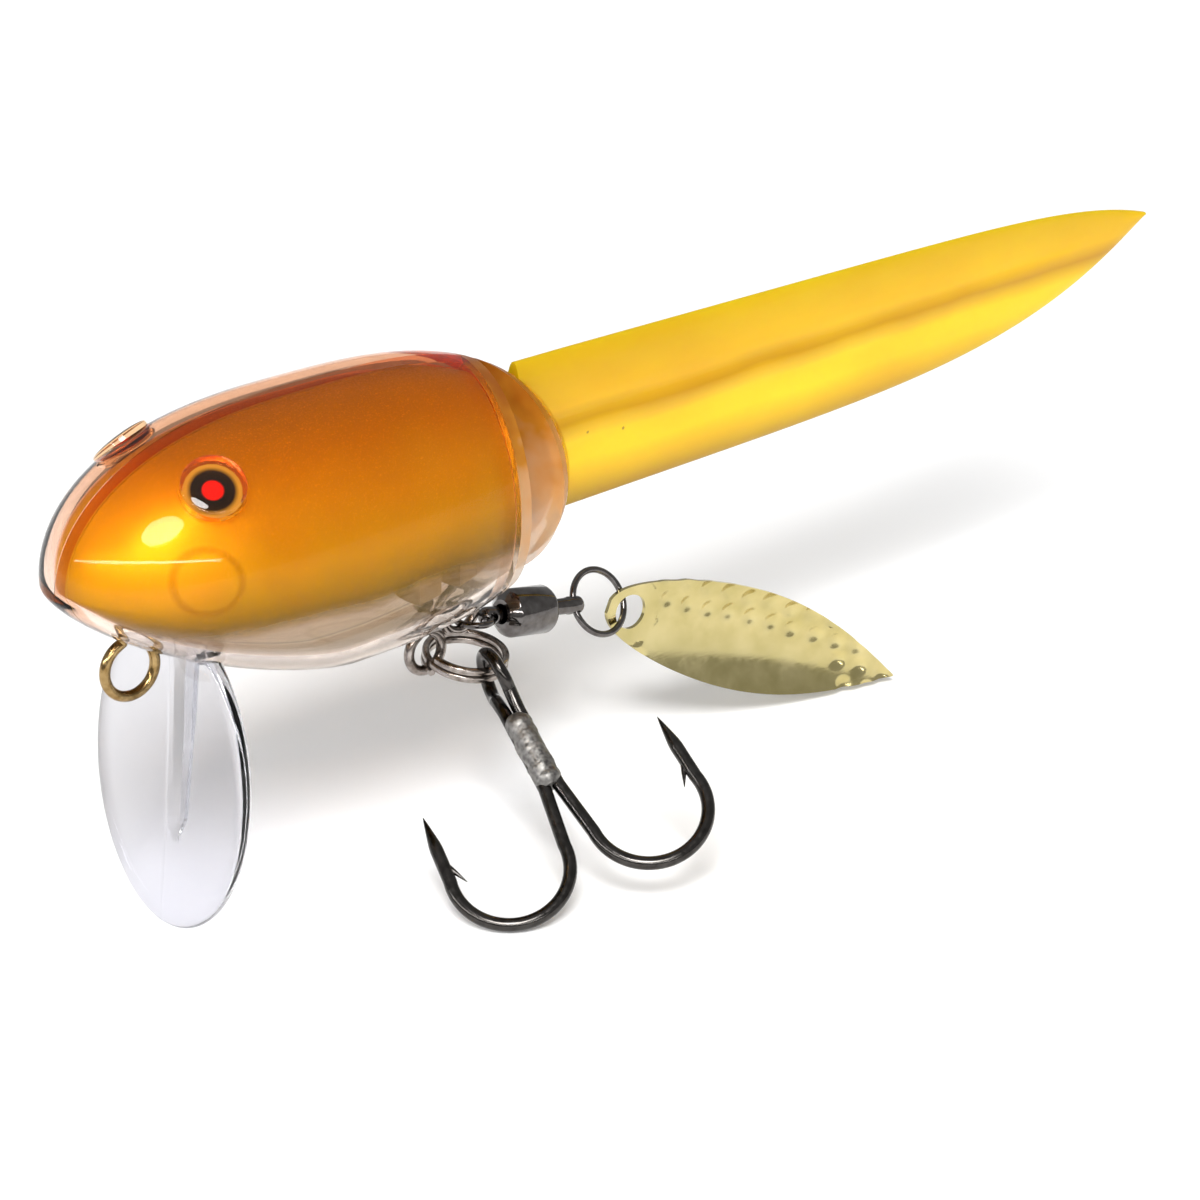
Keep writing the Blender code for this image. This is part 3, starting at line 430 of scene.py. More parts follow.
class Shader:
    """A node material, kept in MATERIALS, with short helpers for its node tree."""

    def __init__(self, name, colour, roughness, metallic=0.0, **values):
        material = bpy.data.materials.new(name)
        material.use_nodes = True
        MATERIALS[name] = material
        self.tree = material.node_tree
        self.bsdf = self.tree.nodes["Principled BSDF"]
        self.output = self.tree.nodes["Material Output"]
        values.update(Base_Color=colour, Roughness=roughness, Metallic=metallic)
        for key, value in values.items():
            self.feed(self.bsdf.inputs[key.replace("_", " ")], value)
        self.place = self.node("TexCoord").outputs["Object"]

    def feed(self, socket, value):
        """Link a socket to another one, or set it to a number, a vector or a colour."""
        if isinstance(value, bpy.types.NodeSocket):
            self.tree.links.new(value, socket)
        elif socket.type == "RGBA":
            socket.default_value = (*value, 1.0)
        else:
            socket.default_value = value

    def node(self, kind, inputs=None, **values):
        node = self.tree.nodes.new(f"ShaderNode{kind}")
        for key, value in values.items():
            setattr(node, key, value)
        for key, value in (inputs or {}).items():
            self.feed(node.inputs[key], value)
        return node

    def noise(self, scale, detail=3.0, stretch=(1.0, 1.0, 1.0)):
        """Noise in metres: scale is in waves per metre."""
        place = self.node("Mapping", {"Vector": self.place, "Scale": stretch}).outputs["Vector"]
        return self.node("TexNoise", {"Vector": place, "Scale": scale, "Detail": detail}).outputs["Fac"]

    def ramp(self, source, *stops):
        return add_ramp(self.tree, source, stops)

    def math(self, operation, first, second=0.0):
        return self.node("Math", {0: first, 1: second}, operation=operation).outputs[0]

    def spread(self, source, low, high, to_low=0.0, to_high=1.0):
        """Map a value's range to another, held at its ends."""
        ranges = {"From Min": low, "From Max": high, "To Min": to_low, "To Max": to_high}
        return self.node("MapRange", {"Value": source, **ranges}).outputs["Result"]

    def vary(self, scale, low, high, detail=3.0):
        """Noise spread between two values."""
        return self.spread(self.noise(scale, detail), 0.3, 0.7, low, high)

    def blend(self, factor, first, second, mode="MIX"):
        """Mix two colours; each is a socket or a colour."""
        inputs = {0: factor, 6: first, 7: second}
        return self.node("Mix", inputs, data_type="RGBA", blend_type=mode).outputs[2]

    def axis(self, name):
        return self.node("SeparateXYZ", {0: self.place}).outputs[name]

    def length(self, *parts):
        """Root of the summed squares of two or more values."""
        total = self.math("POWER", parts[0], 2.0)
        for part in parts[1:]:
            total = self.math("ADD", total, self.math("POWER", part, 2.0))
        return self.math("SQRT", total)

    def away(self, name, level):
        return self.math("SUBTRACT", self.axis(name), level)

    def reach(self, x, z):
        """Distance from a line that runs across the body, in metres."""
        return self.length(self.away("X", x), self.away("Z", z))

    def distance(self, point):
        """Distance from the nearer of a point and its mirror image on the other side, in metres."""
        across = self.math("SUBTRACT", self.math("ABSOLUTE", self.axis("Y")), point[1])
        return self.length(self.away("X", point[0]), across, self.away("Z", point[2]))

    def bump(self, height, depth):
        bump = self.node("Bump", {"Strength": 1.0, "Distance": depth, "Height": height})
        self.feed(self.bsdf.inputs["Normal"], bump.outputs["Normal"])

    def colour(self, source):
        self.feed(self.bsdf.inputs["Base Color"], source)

    def rough(self, source):
        self.feed(self.bsdf.inputs["Roughness"], source)

    def see_through(self, factor, tint=(1.0, 1.0, 1.0)):
        """Transparent by a factor: 0 is solid."""
        clear = self.node("BsdfTransparent", {"Color": tint}).outputs["BSDF"]
        mix = self.node("MixShader", {"Fac": factor, 1: self.bsdf.outputs["BSDF"], 2: clear})
        self.feed(self.output.inputs["Surface"], mix.outputs["Shader"])

    def let_lamps_through(self, tint):
        """Lamps reach what is behind the glass."""
        self.see_through(self.node("LightPath").outputs["Is Shadow Ray"], tint)


def clear_plastic(name, low_tint, high_tint, ripple, ior, gloss, coat=0.0):
    """Polished clear plastic with faint ripple and fine scuffs, tinted from the belly to the back."""
    shader = Shader(name, low_tint, 0.02, Transmission_Weight=1.0, IOR=ior, Coat_Weight=coat,
                    Coat_Roughness=0.02, Specular_Tint=(gloss, gloss, gloss))
    if high_tint != low_tint:
        level = shader.math("ADD", shader.spread(shader.axis("Z"), BODY_AXIS_Z - 0.5 * BODY_RADIUS, TOP_Z),
                            shader.vary(200.0, -0.05, 0.05, 2.0))
        shader.colour(shader.ramp(level, (0.05, low_tint), (0.85, high_tint)))
    shader.rough(shader.spread(shader.noise(900.0, 5.0), 0.55, 0.8, 0.01, 0.06))
    shader.bump(shader.noise(160.0, 2.0), ripple)
    shader.let_lamps_through(low_tint)


def amber_paint():
    """Pearl amber paint: orange-brown on the back, gold on the flanks, stopping above a clear belly, with a
    painted highlight on the cheek.
    """
    shader = Shader("amber_paint", (0.8, 0.4, 0.04), 0.38, 0.45, Specular_IOR_Level=0.1)
    low = BODY_AXIS_Z - BODY_RADIUS
    level = shader.math("ADD", shader.spread(shader.axis("Z"), low, TOP_Z),
                        shader.vary(90.0, -0.03, 0.03, 2.0))
    colour = shader.ramp(
        level,
        (0.30, (0.34, 0.29, 0.06)),
        (0.42, (0.22, 0.16, 0.003)),
        (0.56, (0.44, 0.32, 0.003)),
        (0.72, (0.44, 0.31, 0.005)),
        (0.92, (0.30, 0.21, 0.008)),
    )
    flake = shader.spread(shader.noise(9000.0, 1.0), 0.60, 0.72, 0.0, 0.35)
    # A lighter gold patch on the cheek below the eye: a painted highlight on the pearl paint
    painted_cheek_highlight = shader.spread(shader.distance(CHEEK_HIGHLIGHT_PLACE), 0.0075, 0.002, 0.0, 0.5)
    colour = shader.blend(painted_cheek_highlight, colour, (0.66, 0.46, 0.01))
    rim = shader.math("SUBTRACT", shader.reach(RATTLE_X, RATTLE_Z), RATTLE_BOSS_RADIUS)
    rim = shader.math("ABSOLUTE", rim)
    colour = shader.blend(shader.spread(rim, 0.0004, 0.0001, 0.0, 0.45), colour, (0.22, 0.13, 0.001))
    shader.colour(shader.blend(flake, colour, (0.95, 0.55, 0.03)))
    shader.rough(shader.spread(shader.noise(6000.0, 1.0), 0.4, 0.65, 0.48, 0.30))
    shader.see_through(shader.spread(level, 0.43, 0.35, 0.0, 0.85))


def rear_paint():
    """The same amber on the rear section, thinner and fading downwards."""
    shader = Shader("rear_paint", (0.8, 0.4, 0.04), 0.4, 0.2, Specular_IOR_Level=0.1)
    low = BODY_AXIS_Z - BODY_RADIUS
    level = shader.spread(shader.axis("Z"), low, TOP_Z)
    shader.colour(shader.ramp(level, (0.2, (0.78, 0.52, 0.36)), (0.5, (0.66, 0.30, 0.06)),
                              (0.75, (0.50, 0.16, 0.004)), (0.95, (0.34, 0.08, 0.004))))
    clear = shader.math("ADD", shader.spread(level, 0.70, 0.25, 0.10, 0.70),
                        shader.vary(300.0, -0.08, 0.08))
    shader.see_through(clear)


def inner_plastic():
    """Moulded posts and blocks seen through the shell."""
    shader = Shader("inner_plastic", (0.80, 0.66, 0.42), 0.25, Transmission_Weight=0.5, IOR=1.3)
    shader.colour(shader.ramp(shader.noise(500.0), (0.3, (0.74, 0.58, 0.34)), (0.7, (0.86, 0.76, 0.56))))
    shader.bump(shader.noise(1200.0), 0.00001)


def joint_plastic():
    """The walls at the joint: amber at the top, pinkish clear below."""
    shader = Shader("joint_plastic", (0.80, 0.60, 0.42), 0.3, Transmission_Weight=0.3, IOR=1.2,
                    Specular_IOR_Level=0.3)
    level = shader.math("ADD", shader.spread(shader.axis("Z"), BODY_AXIS_Z - BODY_RADIUS, TOP_Z),
                        shader.vary(350.0, -0.12, 0.12, 2.0))
    shader.colour(shader.ramp(level, (0.15, (0.82, 0.66, 0.50)), (0.45, (0.78, 0.46, 0.22)),
                              (0.70, (0.55, 0.22, 0.02)), (0.95, (0.36, 0.10, 0.008))))
    shader.rough(shader.vary(900.0, 0.30, 0.44))
    shader.see_through(shader.spread(level, 0.75, 0.20, 0.10, 0.55))


def metal(name, dark, bright, roughness, wear_scale=1500.0, scratch=0.000004):
    """Plated metal with smudges, fine scratches and uneven gloss."""
    shader = Shader(name, bright, roughness, 1.0)
    shader.colour(shader.ramp(shader.noise(wear_scale, 4.0), (0.3, dark), (0.7, bright)))
    shader.rough(shader.vary(2.0 * wear_scale, 0.7 * roughness, 1.5 * roughness))
    shader.bump(shader.noise(4000.0, 2.0, (0.3, 1.0, 1.0)), scratch)


def soft_yellow():
    """Translucent yellow elastomer: painted olive shade on its edges, a painted brown shade line over a
    painted highlight band, a few specks.
    """
    shader = Shader("soft_yellow", (0.95, 0.66, 0.01), 0.3, Transmission_Weight=0.10, IOR=1.3,
                    Subsurface_Weight=0.5, Subsurface_Scale=0.003, Subsurface_Radius=(1.0, 0.6, 0.1),
                    Coat_Weight=0.25, Coat_Roughness=0.25)
    cloud = shader.noise(120.0, 4.0, (0.4, 1.0, 1.0))
    body = shader.ramp(cloud, (0.3, (0.84, 0.50, 0.002)), (0.7, (0.94, 0.63, 0.005)))
    level = shader.math("ADD", shader.axis("Z"), shader.vary(60.0, -0.0003, 0.0003, 2.0))
    across = shader.spread(level, TAIL_LOW_EDGE[0], TAIL_HIGH_EDGE[0])
    # Painted light and shade across the fin's height: darker olive edges, a brown shade line above the
    # middle, and a white painted highlight band below it
    painted_shade_and_highlight = shader.ramp(across, (0.02, (0.42, 0.40, 0.25)), (0.16, (0.76, 0.70, 0.52)),
                        (0.30, (1.0, 1.0, 1.0)), (0.44, (1.0, 1.0, 1.0)), (0.56, (0.58, 0.48, 0.32)),
                        (0.66, (0.84, 0.78, 0.62)), (0.98, (0.62, 0.62, 0.58)))
    colour = shader.blend(1.0, body, painted_shade_and_highlight, "MULTIPLY")
    cells = shader.node("TexVoronoi", {"Vector": shader.place, "Scale": 220.0})
    speck = shader.spread(cells.outputs["Distance"], 0.030, 0.045, 0.8, 0.0)
    shader.colour(shader.blend(speck, colour, (0.25, 0.15, 0.01)))
    shader.rough(shader.vary(700.0, 0.30, 0.44))
    shader.bump(shader.noise(450.0, 3.0, (0.3, 1.0, 1.0)), 0.00005)


def eye_print():
    """Printed eye: red pupil, black ring and a gold rim."""
    shader = Shader("eye_print", (0.02, 0.0, 0.0), 0.3, 0.0, Specular_IOR_Level=0.1)
    away = shader.math("POWER", shader.distance(EYE_CENTRE), 2.0)
    flat = shader.math("SQRT", shader.math("SUBTRACT", away, SOCKET_DEPTH ** 2))
    share = shader.math("DIVIDE", flat, FOIL_RADIUS)
    shader.colour(shader.ramp(share, (0.34, (0.50, 0.004, 0.001)), (0.42, (0.004, 0.002, 0.001)),
                              (0.74, (0.008, 0.004, 0.001)), (0.90, (0.30, 0.17, 0.02))))
    shader.bump(shader.noise(3000.0), 0.00001)


# ---- body

def outline(x, shrink):
    """Half width, height above the axis and depth below it of the body at x, made smaller all round."""
    front = x < WIDEST_X
    length = (WIDEST_X - NOSE_X if front else REAR_X - WIDEST_X) - shrink
    t = min(abs(x - WIDEST_X) / length, 1.0)
    radius = BODY_RADIUS - shrink
    above = radius * sqrt(1 - t ** (NOSE_POWER if front else REAR_POWER))
    below = radius * (1 - t ** CHIN_POWER) ** CHIN_ROOT if front else above
    return WIDTH_RATIO * above, above, below


def body_level(x, y, z):
    """Below 1 inside the body, above 1 outside it."""
    width, above, below = outline(x, 0.0)
    height = above if z > BODY_AXIS_Z else below
    return (y / width) ** 2 + ((z - BODY_AXIS_Z) / height) ** 2


def outward(x, y, z, step=1e-5):
    slope = Vector((
        body_level(x + step, y, z) - body_level(x - step, y, z),
        body_level(x, y + step, z) - body_level(x, y - step, z),
        body_level(x, y, z + step) - body_level(x, y, z - step),
    ))
    return slope.normalized()


def body_point(share, angle, side, shrink, tip_x, end_x, lean):
    """A point on the shrunk body, a share of the way to its leaning end, at an angle from its top."""
    across = 0.0
    for _ in range(4):
        x = tip_x + (end_x + lean * across - tip_x) * share
        width, above, below = outline(x, shrink)
        across = width * sin(angle)
    height = above if cos(angle) > 0 else below
    return Vector((x, side * (SEAM_GAP / 2 + across), BODY_AXIS_Z + height * cos(angle)))


def half_skin(side, shrink, tip_x, end_x, lean, stations, steps):
    """Rows of points over one side of the shrunk body, from its tip to its leaning end."""
    rows = []
    for i in range(stations + 1):
        share = 1 - cos(pi / 2 * i / stations)
        rows.append([body_point(share, pi * k / steps, side, shrink, tip_x, end_x, lean)
                     for k in range(steps + 1)])
    return rows


def half_shell(side, section, outer_shrink, inner_shrink, stations=40, steps=40):
    """Half of the hollow front or rear section between two depths, open at the joint."""
    rows = []
    for shrink in (outer_shrink, inner_shrink):
        if section == "front":
            place = (NOSE_X + shrink, FRONT_END_X - PLATE - PLATE_GAP, FRONT_END_LEAN)
        else:
            place = (REAR_X - shrink, REAR_START_X + PLATE + PLATE_GAP, REAR_START_LEAN)
        rows.append(half_skin(side, shrink, *place, stations, steps))
    bm = bmesh.new()
    outer, inner = [[[bm.verts.new(point) for point in row] for row in surface] for surface in rows]
    for surface in (outer, inner):
        for first, second in zip(surface, surface[1:]):
            for k in range(steps):
                bm.faces.new((first[k], first[k + 1], second[k + 1], second[k]))
    for edge in (0, -1):
        for i in range(stations):
            bm.faces.new((outer[i][edge], outer[i + 1][edge], inner[i + 1][edge], inner[i][edge]))
    for k in range(steps):
        bm.faces.new((outer[-1][k], outer[-1][k + 1], inner[-1][k + 1], inner[-1][k]))
    bm.faces.new((outer[0][0], outer[0][-1], inner[0][-1], inner[0][0]))
    bmesh.ops.remove_doubles(bm, verts=bm.verts, dist=2e-6)
    bmesh.ops.dissolve_degenerate(bm, dist=1e-7, edges=bm.edges)
    return bm


def eye_place(side):
    x, y, z = EYE_CENTRE
    centre = Vector((x, side * y, z))
    return centre, outward(*centre)


def eye_socket(side):
    centre, out = eye_place(side)
    return turned(centre - out * (SOCKET_DEPTH + SOCKET_POCKET), out, [
        (0.0, FOIL_RADIUS + SOCKET_ROOM),
        (SOCKET_POCKET, FOIL_RADIUS + SOCKET_ROOM),
        (SOCKET_POCKET, DOME_RADIUS + SOCKET_ROOM),
        (SOCKET_REACH, DOME_RADIUS + SOCKET_ROOM),
    ])


def eye_dome(side, label):
    """A clear lens over the printed eye."""
    centre, out = eye_place(side)
    profile = [(-LENS_BASE, 0.0), (-LENS_BASE, DOME_RADIUS)]
    for i in range(13):
        angle = pi / 2 * i / 12
        profile.append((DOME_HEIGHT * sin(angle), DOME_RADIUS * cos(angle)))
    add_piece(f"eye_lens_{label}", turned(centre, out, profile), "clear_lens", "front_body",
              [f"eye_dome_{label}"])


def end_plate(side, tip_x, end_x, lean, reach, steps=40):
    """Half of the flat wall that closes a section at the joint."""
    rings = [[body_point(1.0, pi * k / steps, side, 0.0, tip_x, x, lean) for k in range(steps + 1)]
             for x in (end_x, end_x + reach)]
    return skin(rings)


def rounded_tab(back_x, low_z, high_z):
    """A flat tab from back_x to a round end about the pin."""
    turn = copysign(1.0, PIN_X - back_x)
    edge = [Vector((back_x, -turn * KNUCKLE_RADIUS, 0)), Vector((back_x, turn * KNUCKLE_RADIUS, 0))]
    for i in range(25):
        angle = pi / 2 - pi * i / 24
        edge.append(Vector((PIN_X + turn * KNUCKLE_RADIUS * cos(angle),
                            turn * KNUCKLE_RADIUS * sin(angle), 0)))
    return skin([[point + Vector((0, 0, z)) for point in edge] for z in (low_z, high_z)])


def joint_parts():
    """The walls on both sides of the joint, the front section's two lugs and the knuckle between them."""
    front, rear = [], []
    for side in (-1, 1):
        front.append(end_plate(side, NOSE_X, FRONT_END_X, FRONT_END_LEAN, -PLATE))
        rear.append(end_plate(side, REAR_X, REAR_START_X, REAR_START_LEAN, PLATE))
    for low_z in (KNUCKLE_LOW_Z - LUG_THICKNESS, KNUCKLE_HIGH_Z):
        front.append(rounded_tab(FRONT_END_X - LUG_ROOT, low_z, low_z + LUG_THICKNESS))
    rear.append(rounded_tab(REAR_START_X + KNUCKLE_ROOT, KNUCKLE_LOW_Z + KNUCKLE_ROOM,
                            KNUCKLE_HIGH_Z - KNUCKLE_ROOM))
    for section, pieces in (("front", front), ("rear", rear)):
        add_piece(f"{section}_joint_wall", merge(*pieces), "joint_plastic", f"{section}_body")


def front_section():
    for side, label in ((-1, "left"), (1, "right")):
        shell = add_piece(f"clear_front_{label}", half_shell(side, "front", 0.0, WALL),
                          "clear_shell", "front_body", [f"front_shell_{label}"])
        cut(shell, eye_socket(side))
        add_piece(f"painted_front_{label}",
                  half_shell(side, "front", PAINT_DEPTH, PAINT_DEPTH + PAINT_THICKNESS),
                  "amber_paint", "front_body")
        eye_dome(side, label)


def rear_section():
    for side, label in ((-1, "left"), (1, "right")):
        add_piece(f"clear_rear_{label}", half_shell(side, "rear", 0.0, WALL, *REAR_GRID),
                  "clear_shell", "rear_body", [f"rear_shell_{label}"])
        add_piece(f"painted_rear_{label}",
                  half_shell(side, "rear", PAINT_DEPTH, PAINT_DEPTH + PAINT_THICKNESS, *REAR_GRID),
                  "rear_paint", "rear_body")


def egg(shrink, stations=40, steps=64):
    """The whole body outline as one closed surface, made smaller all round."""
    rings = []
    for i in range(stations + 1):
        share = 0.5 - 0.5 * cos(pi * i / stations)
        x = NOSE_X + shrink + (REAR_X - NOSE_X - 2 * shrink) * share
        width, above, below = outline(x, shrink)
        ring = []
        for a in turn_angles(steps):
            height = above if cos(a) > 0 else below
            ring.append(Vector((x, width * sin(a), BODY_AXIS_Z + height * cos(a))))
        rings.append(ring)
    return skin(rings)


# ---- lip, wire eyes and inside

def lip_columns(half_width, count=30):
    """Distances from the middle for the lip's columns: evenly over the rib, then out to the edge."""
    inner = min(FINE_COLUMNS_REACH, FINE_COLUMNS_SHARE * half_width)
    share = count // 3
    near = [inner * (k / share) for k in range(share)]
    far = [inner + (half_width - inner) * sin(pi / 2 * k / (count - share))
           for k in range(count - share + 1)]
    one_side = near + far
    return [-y for y in one_side[:0:-1]] + one_side


def rib_height(y, z):
    """How far the rib stands out behind the lip."""
    along = min(max((z - RIB_LOW_Z) / (RIB_HIGH_Z - RIB_LOW_Z), 0.0), 1.0)
    half = RIB_HALF_WIDTH * (RIB_LOW_WIDTH_SHARE + (1 - RIB_LOW_WIDTH_SHARE) * along)
    depth = RIB_LOW_DEPTH + (RIB_DEPTH - RIB_LOW_DEPTH) * along
    flank = smooth((half - abs(y)) / (RIB_FLANK_SHARE * half))
    return depth * flank * smooth(1 + (z - RIB_LOW_Z) / RIB_END_LENGTH)


def lip():
    """The lip as one plate: dished in front, ribbed behind, with rounded edges and a mould seam."""
    centre_z = FLOOR_Z + LIP_HALF_HEIGHT
    rows = 90
    front, back = [], []
    for i in range(rows + 1):
        z = centre_z - LIP_HALF_HEIGHT * cos(pi * i / rows)
        half_width = max(LIP_HALF_WIDTH * sin(pi * i / rows), 1e-6)
        middle = LIP_TIP_X + (z - FLOOR_Z) * tan(LIP_LEAN)
        front_row, back_row = [], []
        for y in lip_columns(half_width):
            share = min(hypot(y / LIP_HALF_WIDTH, (z - centre_z) / LIP_HALF_HEIGHT), 1.0)
            over = max(share - LIP_ROUND_FROM, 0.0) / (1 - LIP_ROUND_FROM)
            thick = LIP_HALF_THICK * sqrt(max(1 - over * over, 0.0))
            x = middle + LIP_DISH * (1 - share * share)
            seam = SEAM_DEPTH * max(1 - abs(y) / SEAM_WIDTH, 0.0) * (1 - over)
            front_row.append(Vector((x - thick + seam, y, z)))
            back_row.append(Vector((x + thick + rib_height(y, z) * (1 - over), y, z)))
        front.append(front_row)
        back.append(back_row)
    rings = [front_row + back_row[::-1] for front_row, back_row in zip(front, back)]
    piece = add_piece("diving_lip", skin(rings), "clear_lip", "front_body")
    cut(piece, egg(LIP_IN_SHELL))


def eye_wire(name, centre, radius, neck, material):
    """A wire bent to a loop, with its two ends twisted together above it."""
    up, side, across = Vector((0, 0, 1)), Vector((1, 0, 0)), Vector((0, 1, 0))
    start = radius + TWIST_ABOVE_LOOP

    def strand(sign):
        steps = 28
        points = []
        for i in range(steps + 1):
            along = start + (neck - start) * i / steps
            turn = 2 * pi * (along - start) / TWIST_PITCH
            points.append(centre + up * along
                          + (side * cos(turn) + across * sin(turn)) * sign * EYE_WIRE)
        return points

    opening = LOOP_OPENING / radius
    steps = 56
    loop = []
    for i in range(steps + 1):
        angle = opening + (2 * pi - 2 * opening) * i / steps
        loop.append(centre + (up * cos(angle) + side * sin(angle)) * radius)
    path = strand(1)[::-1] + loop + strand(-1)
    add_piece(f"{name}_wire", wire(path, EYE_WIRE), material, "front_body", [name])


def wire_eyes():
    for name, radius, neck, material in (
            ("line_tie", LINE_TIE_RADIUS, LINE_TIE_NECK, "bronze_wire"),
            ("hook_hanger", HANGER_RADIUS, HANGER_NECK, "dark_steel"),
            ("blade_hanger", HANGER_RADIUS, HANGER_NECK, "dark_steel")):
        low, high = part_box(name)
        reach = radius + EYE_WIRE
        centre = Vector((low.x + reach, 0, low.z + reach))
        if name == "blade_hanger":
            centre.x = high.x - reach
        eye_wire(name, centre, radius, neck, material)


def post(x, half_length, half_width, top):
    """An upright block with a round top that holds a wire eye's twisted shank."""
    edge = [(-half_length, POST_FOOT_Z), (half_length, POST_FOOT_Z)]
    for i in range(17):
        angle = pi * i / 16
        edge.append((half_length * cos(angle), top - half_length + half_length * sin(angle)))
    return skin([[Vector((x + along, y, z)) for along, z in edge] for y in (-half_width, half_width)])


def inner_features():
    """The rattle chamber and the posts that hold the wire eyes, seen through the shell."""
    chamber = turned((RATTLE_X, -RATTLE_HALF_LENGTH, RATTLE_Z), (0, 1, 0), [
        (0.0, RATTLE_BOSS_RADIUS), (2 * RATTLE_HALF_LENGTH, RATTLE_BOSS_RADIUS),
        (2 * RATTLE_HALF_LENGTH, RATTLE_BOSS_RADIUS - RATTLE_WALL), (0.0, RATTLE_BOSS_RADIUS - RATTLE_WALL)],
        48, True)
    features = [("rattle_chamber", chamber)]
    for name, *sizes in POSTS:
        features.append((name, post(*sizes)))
    for name, bm in features:
        piece = add_piece(name, bm, "inner_plastic", "front_body")
        keep_inside(piece, egg(PAINT_DEPTH + 2 * PAINT_THICKNESS))


# ---- tail

def tail_edge(x, root, rise, curl, power):
    """Height of an edge of the fin at x."""
    u = max((x - TAIL_START_X) / TAIL_LENGTH, 0.0)
    return root + rise * u + curl * u ** power


def tail_relief(height, level, width, share):
    """How much a ridge or groove changes the thickness at a height."""
    return share * exp(-((height - level) / width) ** 2)


def tail():
    """A soft fin: fat along its middle, with a raised ridge below a groove on each side, and thin edges."""
    stations, steps = 120, 72
    end_x = TAIL_START_X + TAIL_LENGTH
    rings = []
    for i in range(stations + 1):
        u = i / stations
        x = TAIL_ROOT_X + (end_x - TAIL_ROOT_X) * u
        lower = tail_edge(x, *TAIL_LOW_EDGE)
        upper = tail_edge(x, *TAIL_HIGH_EDGE)
        half_height = (upper - lower) / 2 * TAIL_HEIGHT_SHARE
        half_thick = (TAIL_ROOT_THICKNESS + (TAIL_TIP_THICKNESS - TAIL_ROOT_THICKNESS) * u) / 2
        middle = (upper + lower) / 2
        relief = sin(pi * min(u + TAIL_RELIEF_START, 1.0)) ** 0.5
        ring = []
        for a in turn_angles(steps):
            height = cos(a)
            change = tail_relief(height, *RIDGE) - tail_relief(height, *GROOVE)
            thick = half_thick * sin(a) * (1 - RIDGE[-1] + relief * change)
            ring.append(Vector((x, thick, middle + half_height * height)))
        rings.append(ring)
    add_piece("fin_tail", skin(rings), "soft_yellow", "rear_body", ["soft_tail"])


# ---- split ring and hook

def split_ring_axes():
    rearward = Vector((cos(RING_YAW), sin(RING_YAW), 0))
    leftward = Vector((sin(RING_YAW), -cos(RING_YAW), 0))
    first = rearward * cos(RING_TILT) - Vector((0, 0, sin(RING_TILT)))
    upright = rearward * sin(RING_TILT) + Vector((0, 0, cos(RING_TILT)))
    second = leftward * cos(RING_ROLL) - upright * sin(RING_ROLL)
    return first, second, second.cross(first)


def split_ring():
    """Two turns of flat wire with rounded corners."""
    first, second, normal = split_ring_axes()
    centre = pivot("split_ring_swing") + first * RING_RADIUS
    per_turn = 84
    half = RING_STRAND / 2
    corner = 0.62
    section = [[copysign(abs(value) ** corner, value) for value in (cos(a), sin(a))] for a in turn_angles(16)]
    rings = []
    for i in range(RING_TURNS * per_turn):
        angle = 2 * pi * i / per_turn + RING_END
        out = first * cos(angle) + second * sin(angle)
        middle = centre + out * RING_RADIUS + normal * RING_PITCH * (i / per_turn - RING_TURNS / 2)
        rings.append([middle + out * a * half + normal * b * half for a, b in section])
    add_piece("split_ring_coil", skin(rings), "dark_steel", "split_ring",
              ["hook_split_ring"])


def hook_axes():
    """The hook's eye centre, downward, sideways and face directions."""
    level = Vector((cos(HOOK_HEADING), sin(HOOK_HEADING), 0))
    down = level * cos(HOOK_PITCH) - Vector((0, 0, sin(HOOK_PITCH)))
    flat_side = Vector((-sin(HOOK_HEADING), cos(HOOK_HEADING), 0))
    sideways = flat_side * cos(HOOK_ROLL) + down.cross(flat_side) * sin(HOOK_ROLL)
    eye = pivot("hook_swing") + down * HOOK_EYE_DROP
    return eye, down, sideways, down.cross(sideways)


def hook_leg():
    """Points and radii from below the braze round the bend to the barb, then to the point."""
    bend_level = HOOK_LENGTH - HOOK_BEND_RADIUS
    inner = SHANK_OFFSET + HOOK_SPREAD
    levels = (BRAZE_START - BRAZE_OVER_WIRE, 0.5 * (BRAZE_START + BRAZE_END), BRAZE_END)
    start = [(SHANK_OFFSET, level) for level in levels]
    start.append((inner - HOOK_SPREAD_LEFT * HOOK_SPREAD, bend_level - HOOK_STRAIGHT_END))
    bend_steps = 40
    bend = []
    for i in range(bend_steps + 1):
        angle = HOOK_POINT_TURN * i / bend_steps
        bend.append((inner + HOOK_BEND_RADIUS * (1 - cos(angle)),
                     bend_level + HOOK_BEND_RADIUS * sin(angle)))
    across, along = bend[-1]
    tip_steps = 12
    shares = [(k + 1) / tip_steps for k in range(tip_steps)]
    lean = POINT_LEAN * HOOK_POINT_LENGTH * sin(HOOK_POINT_TURN)
    tip = [(across + lean * t, along - HOOK_POINT_LENGTH * t) for t in shares]
    radii = [HOOK_WIRE] * (len(start) + len(bend))
    radii += [HOOK_WIRE * min(1.0, POINT_FULLNESS * (1 - t) ** POINT_POWER + POINT_BLUNTNESS) for t in shares]
    return start + bend + tip, radii


def hook_eye(steps=48):
    """Points round the eye, from one shank to the other, a little apart where they meet."""
    loop = []
    for i in range(steps + 1):
        share = 2 * i / steps - 1
        angle = share * (pi - HOOK_EYE_GAP)
        loop.append((share * SHANK_OFFSET, -HOOK_EYE_RADIUS * cos(angle),
                     HOOK_EYE_RADIUS * sin(angle)))
    return loop


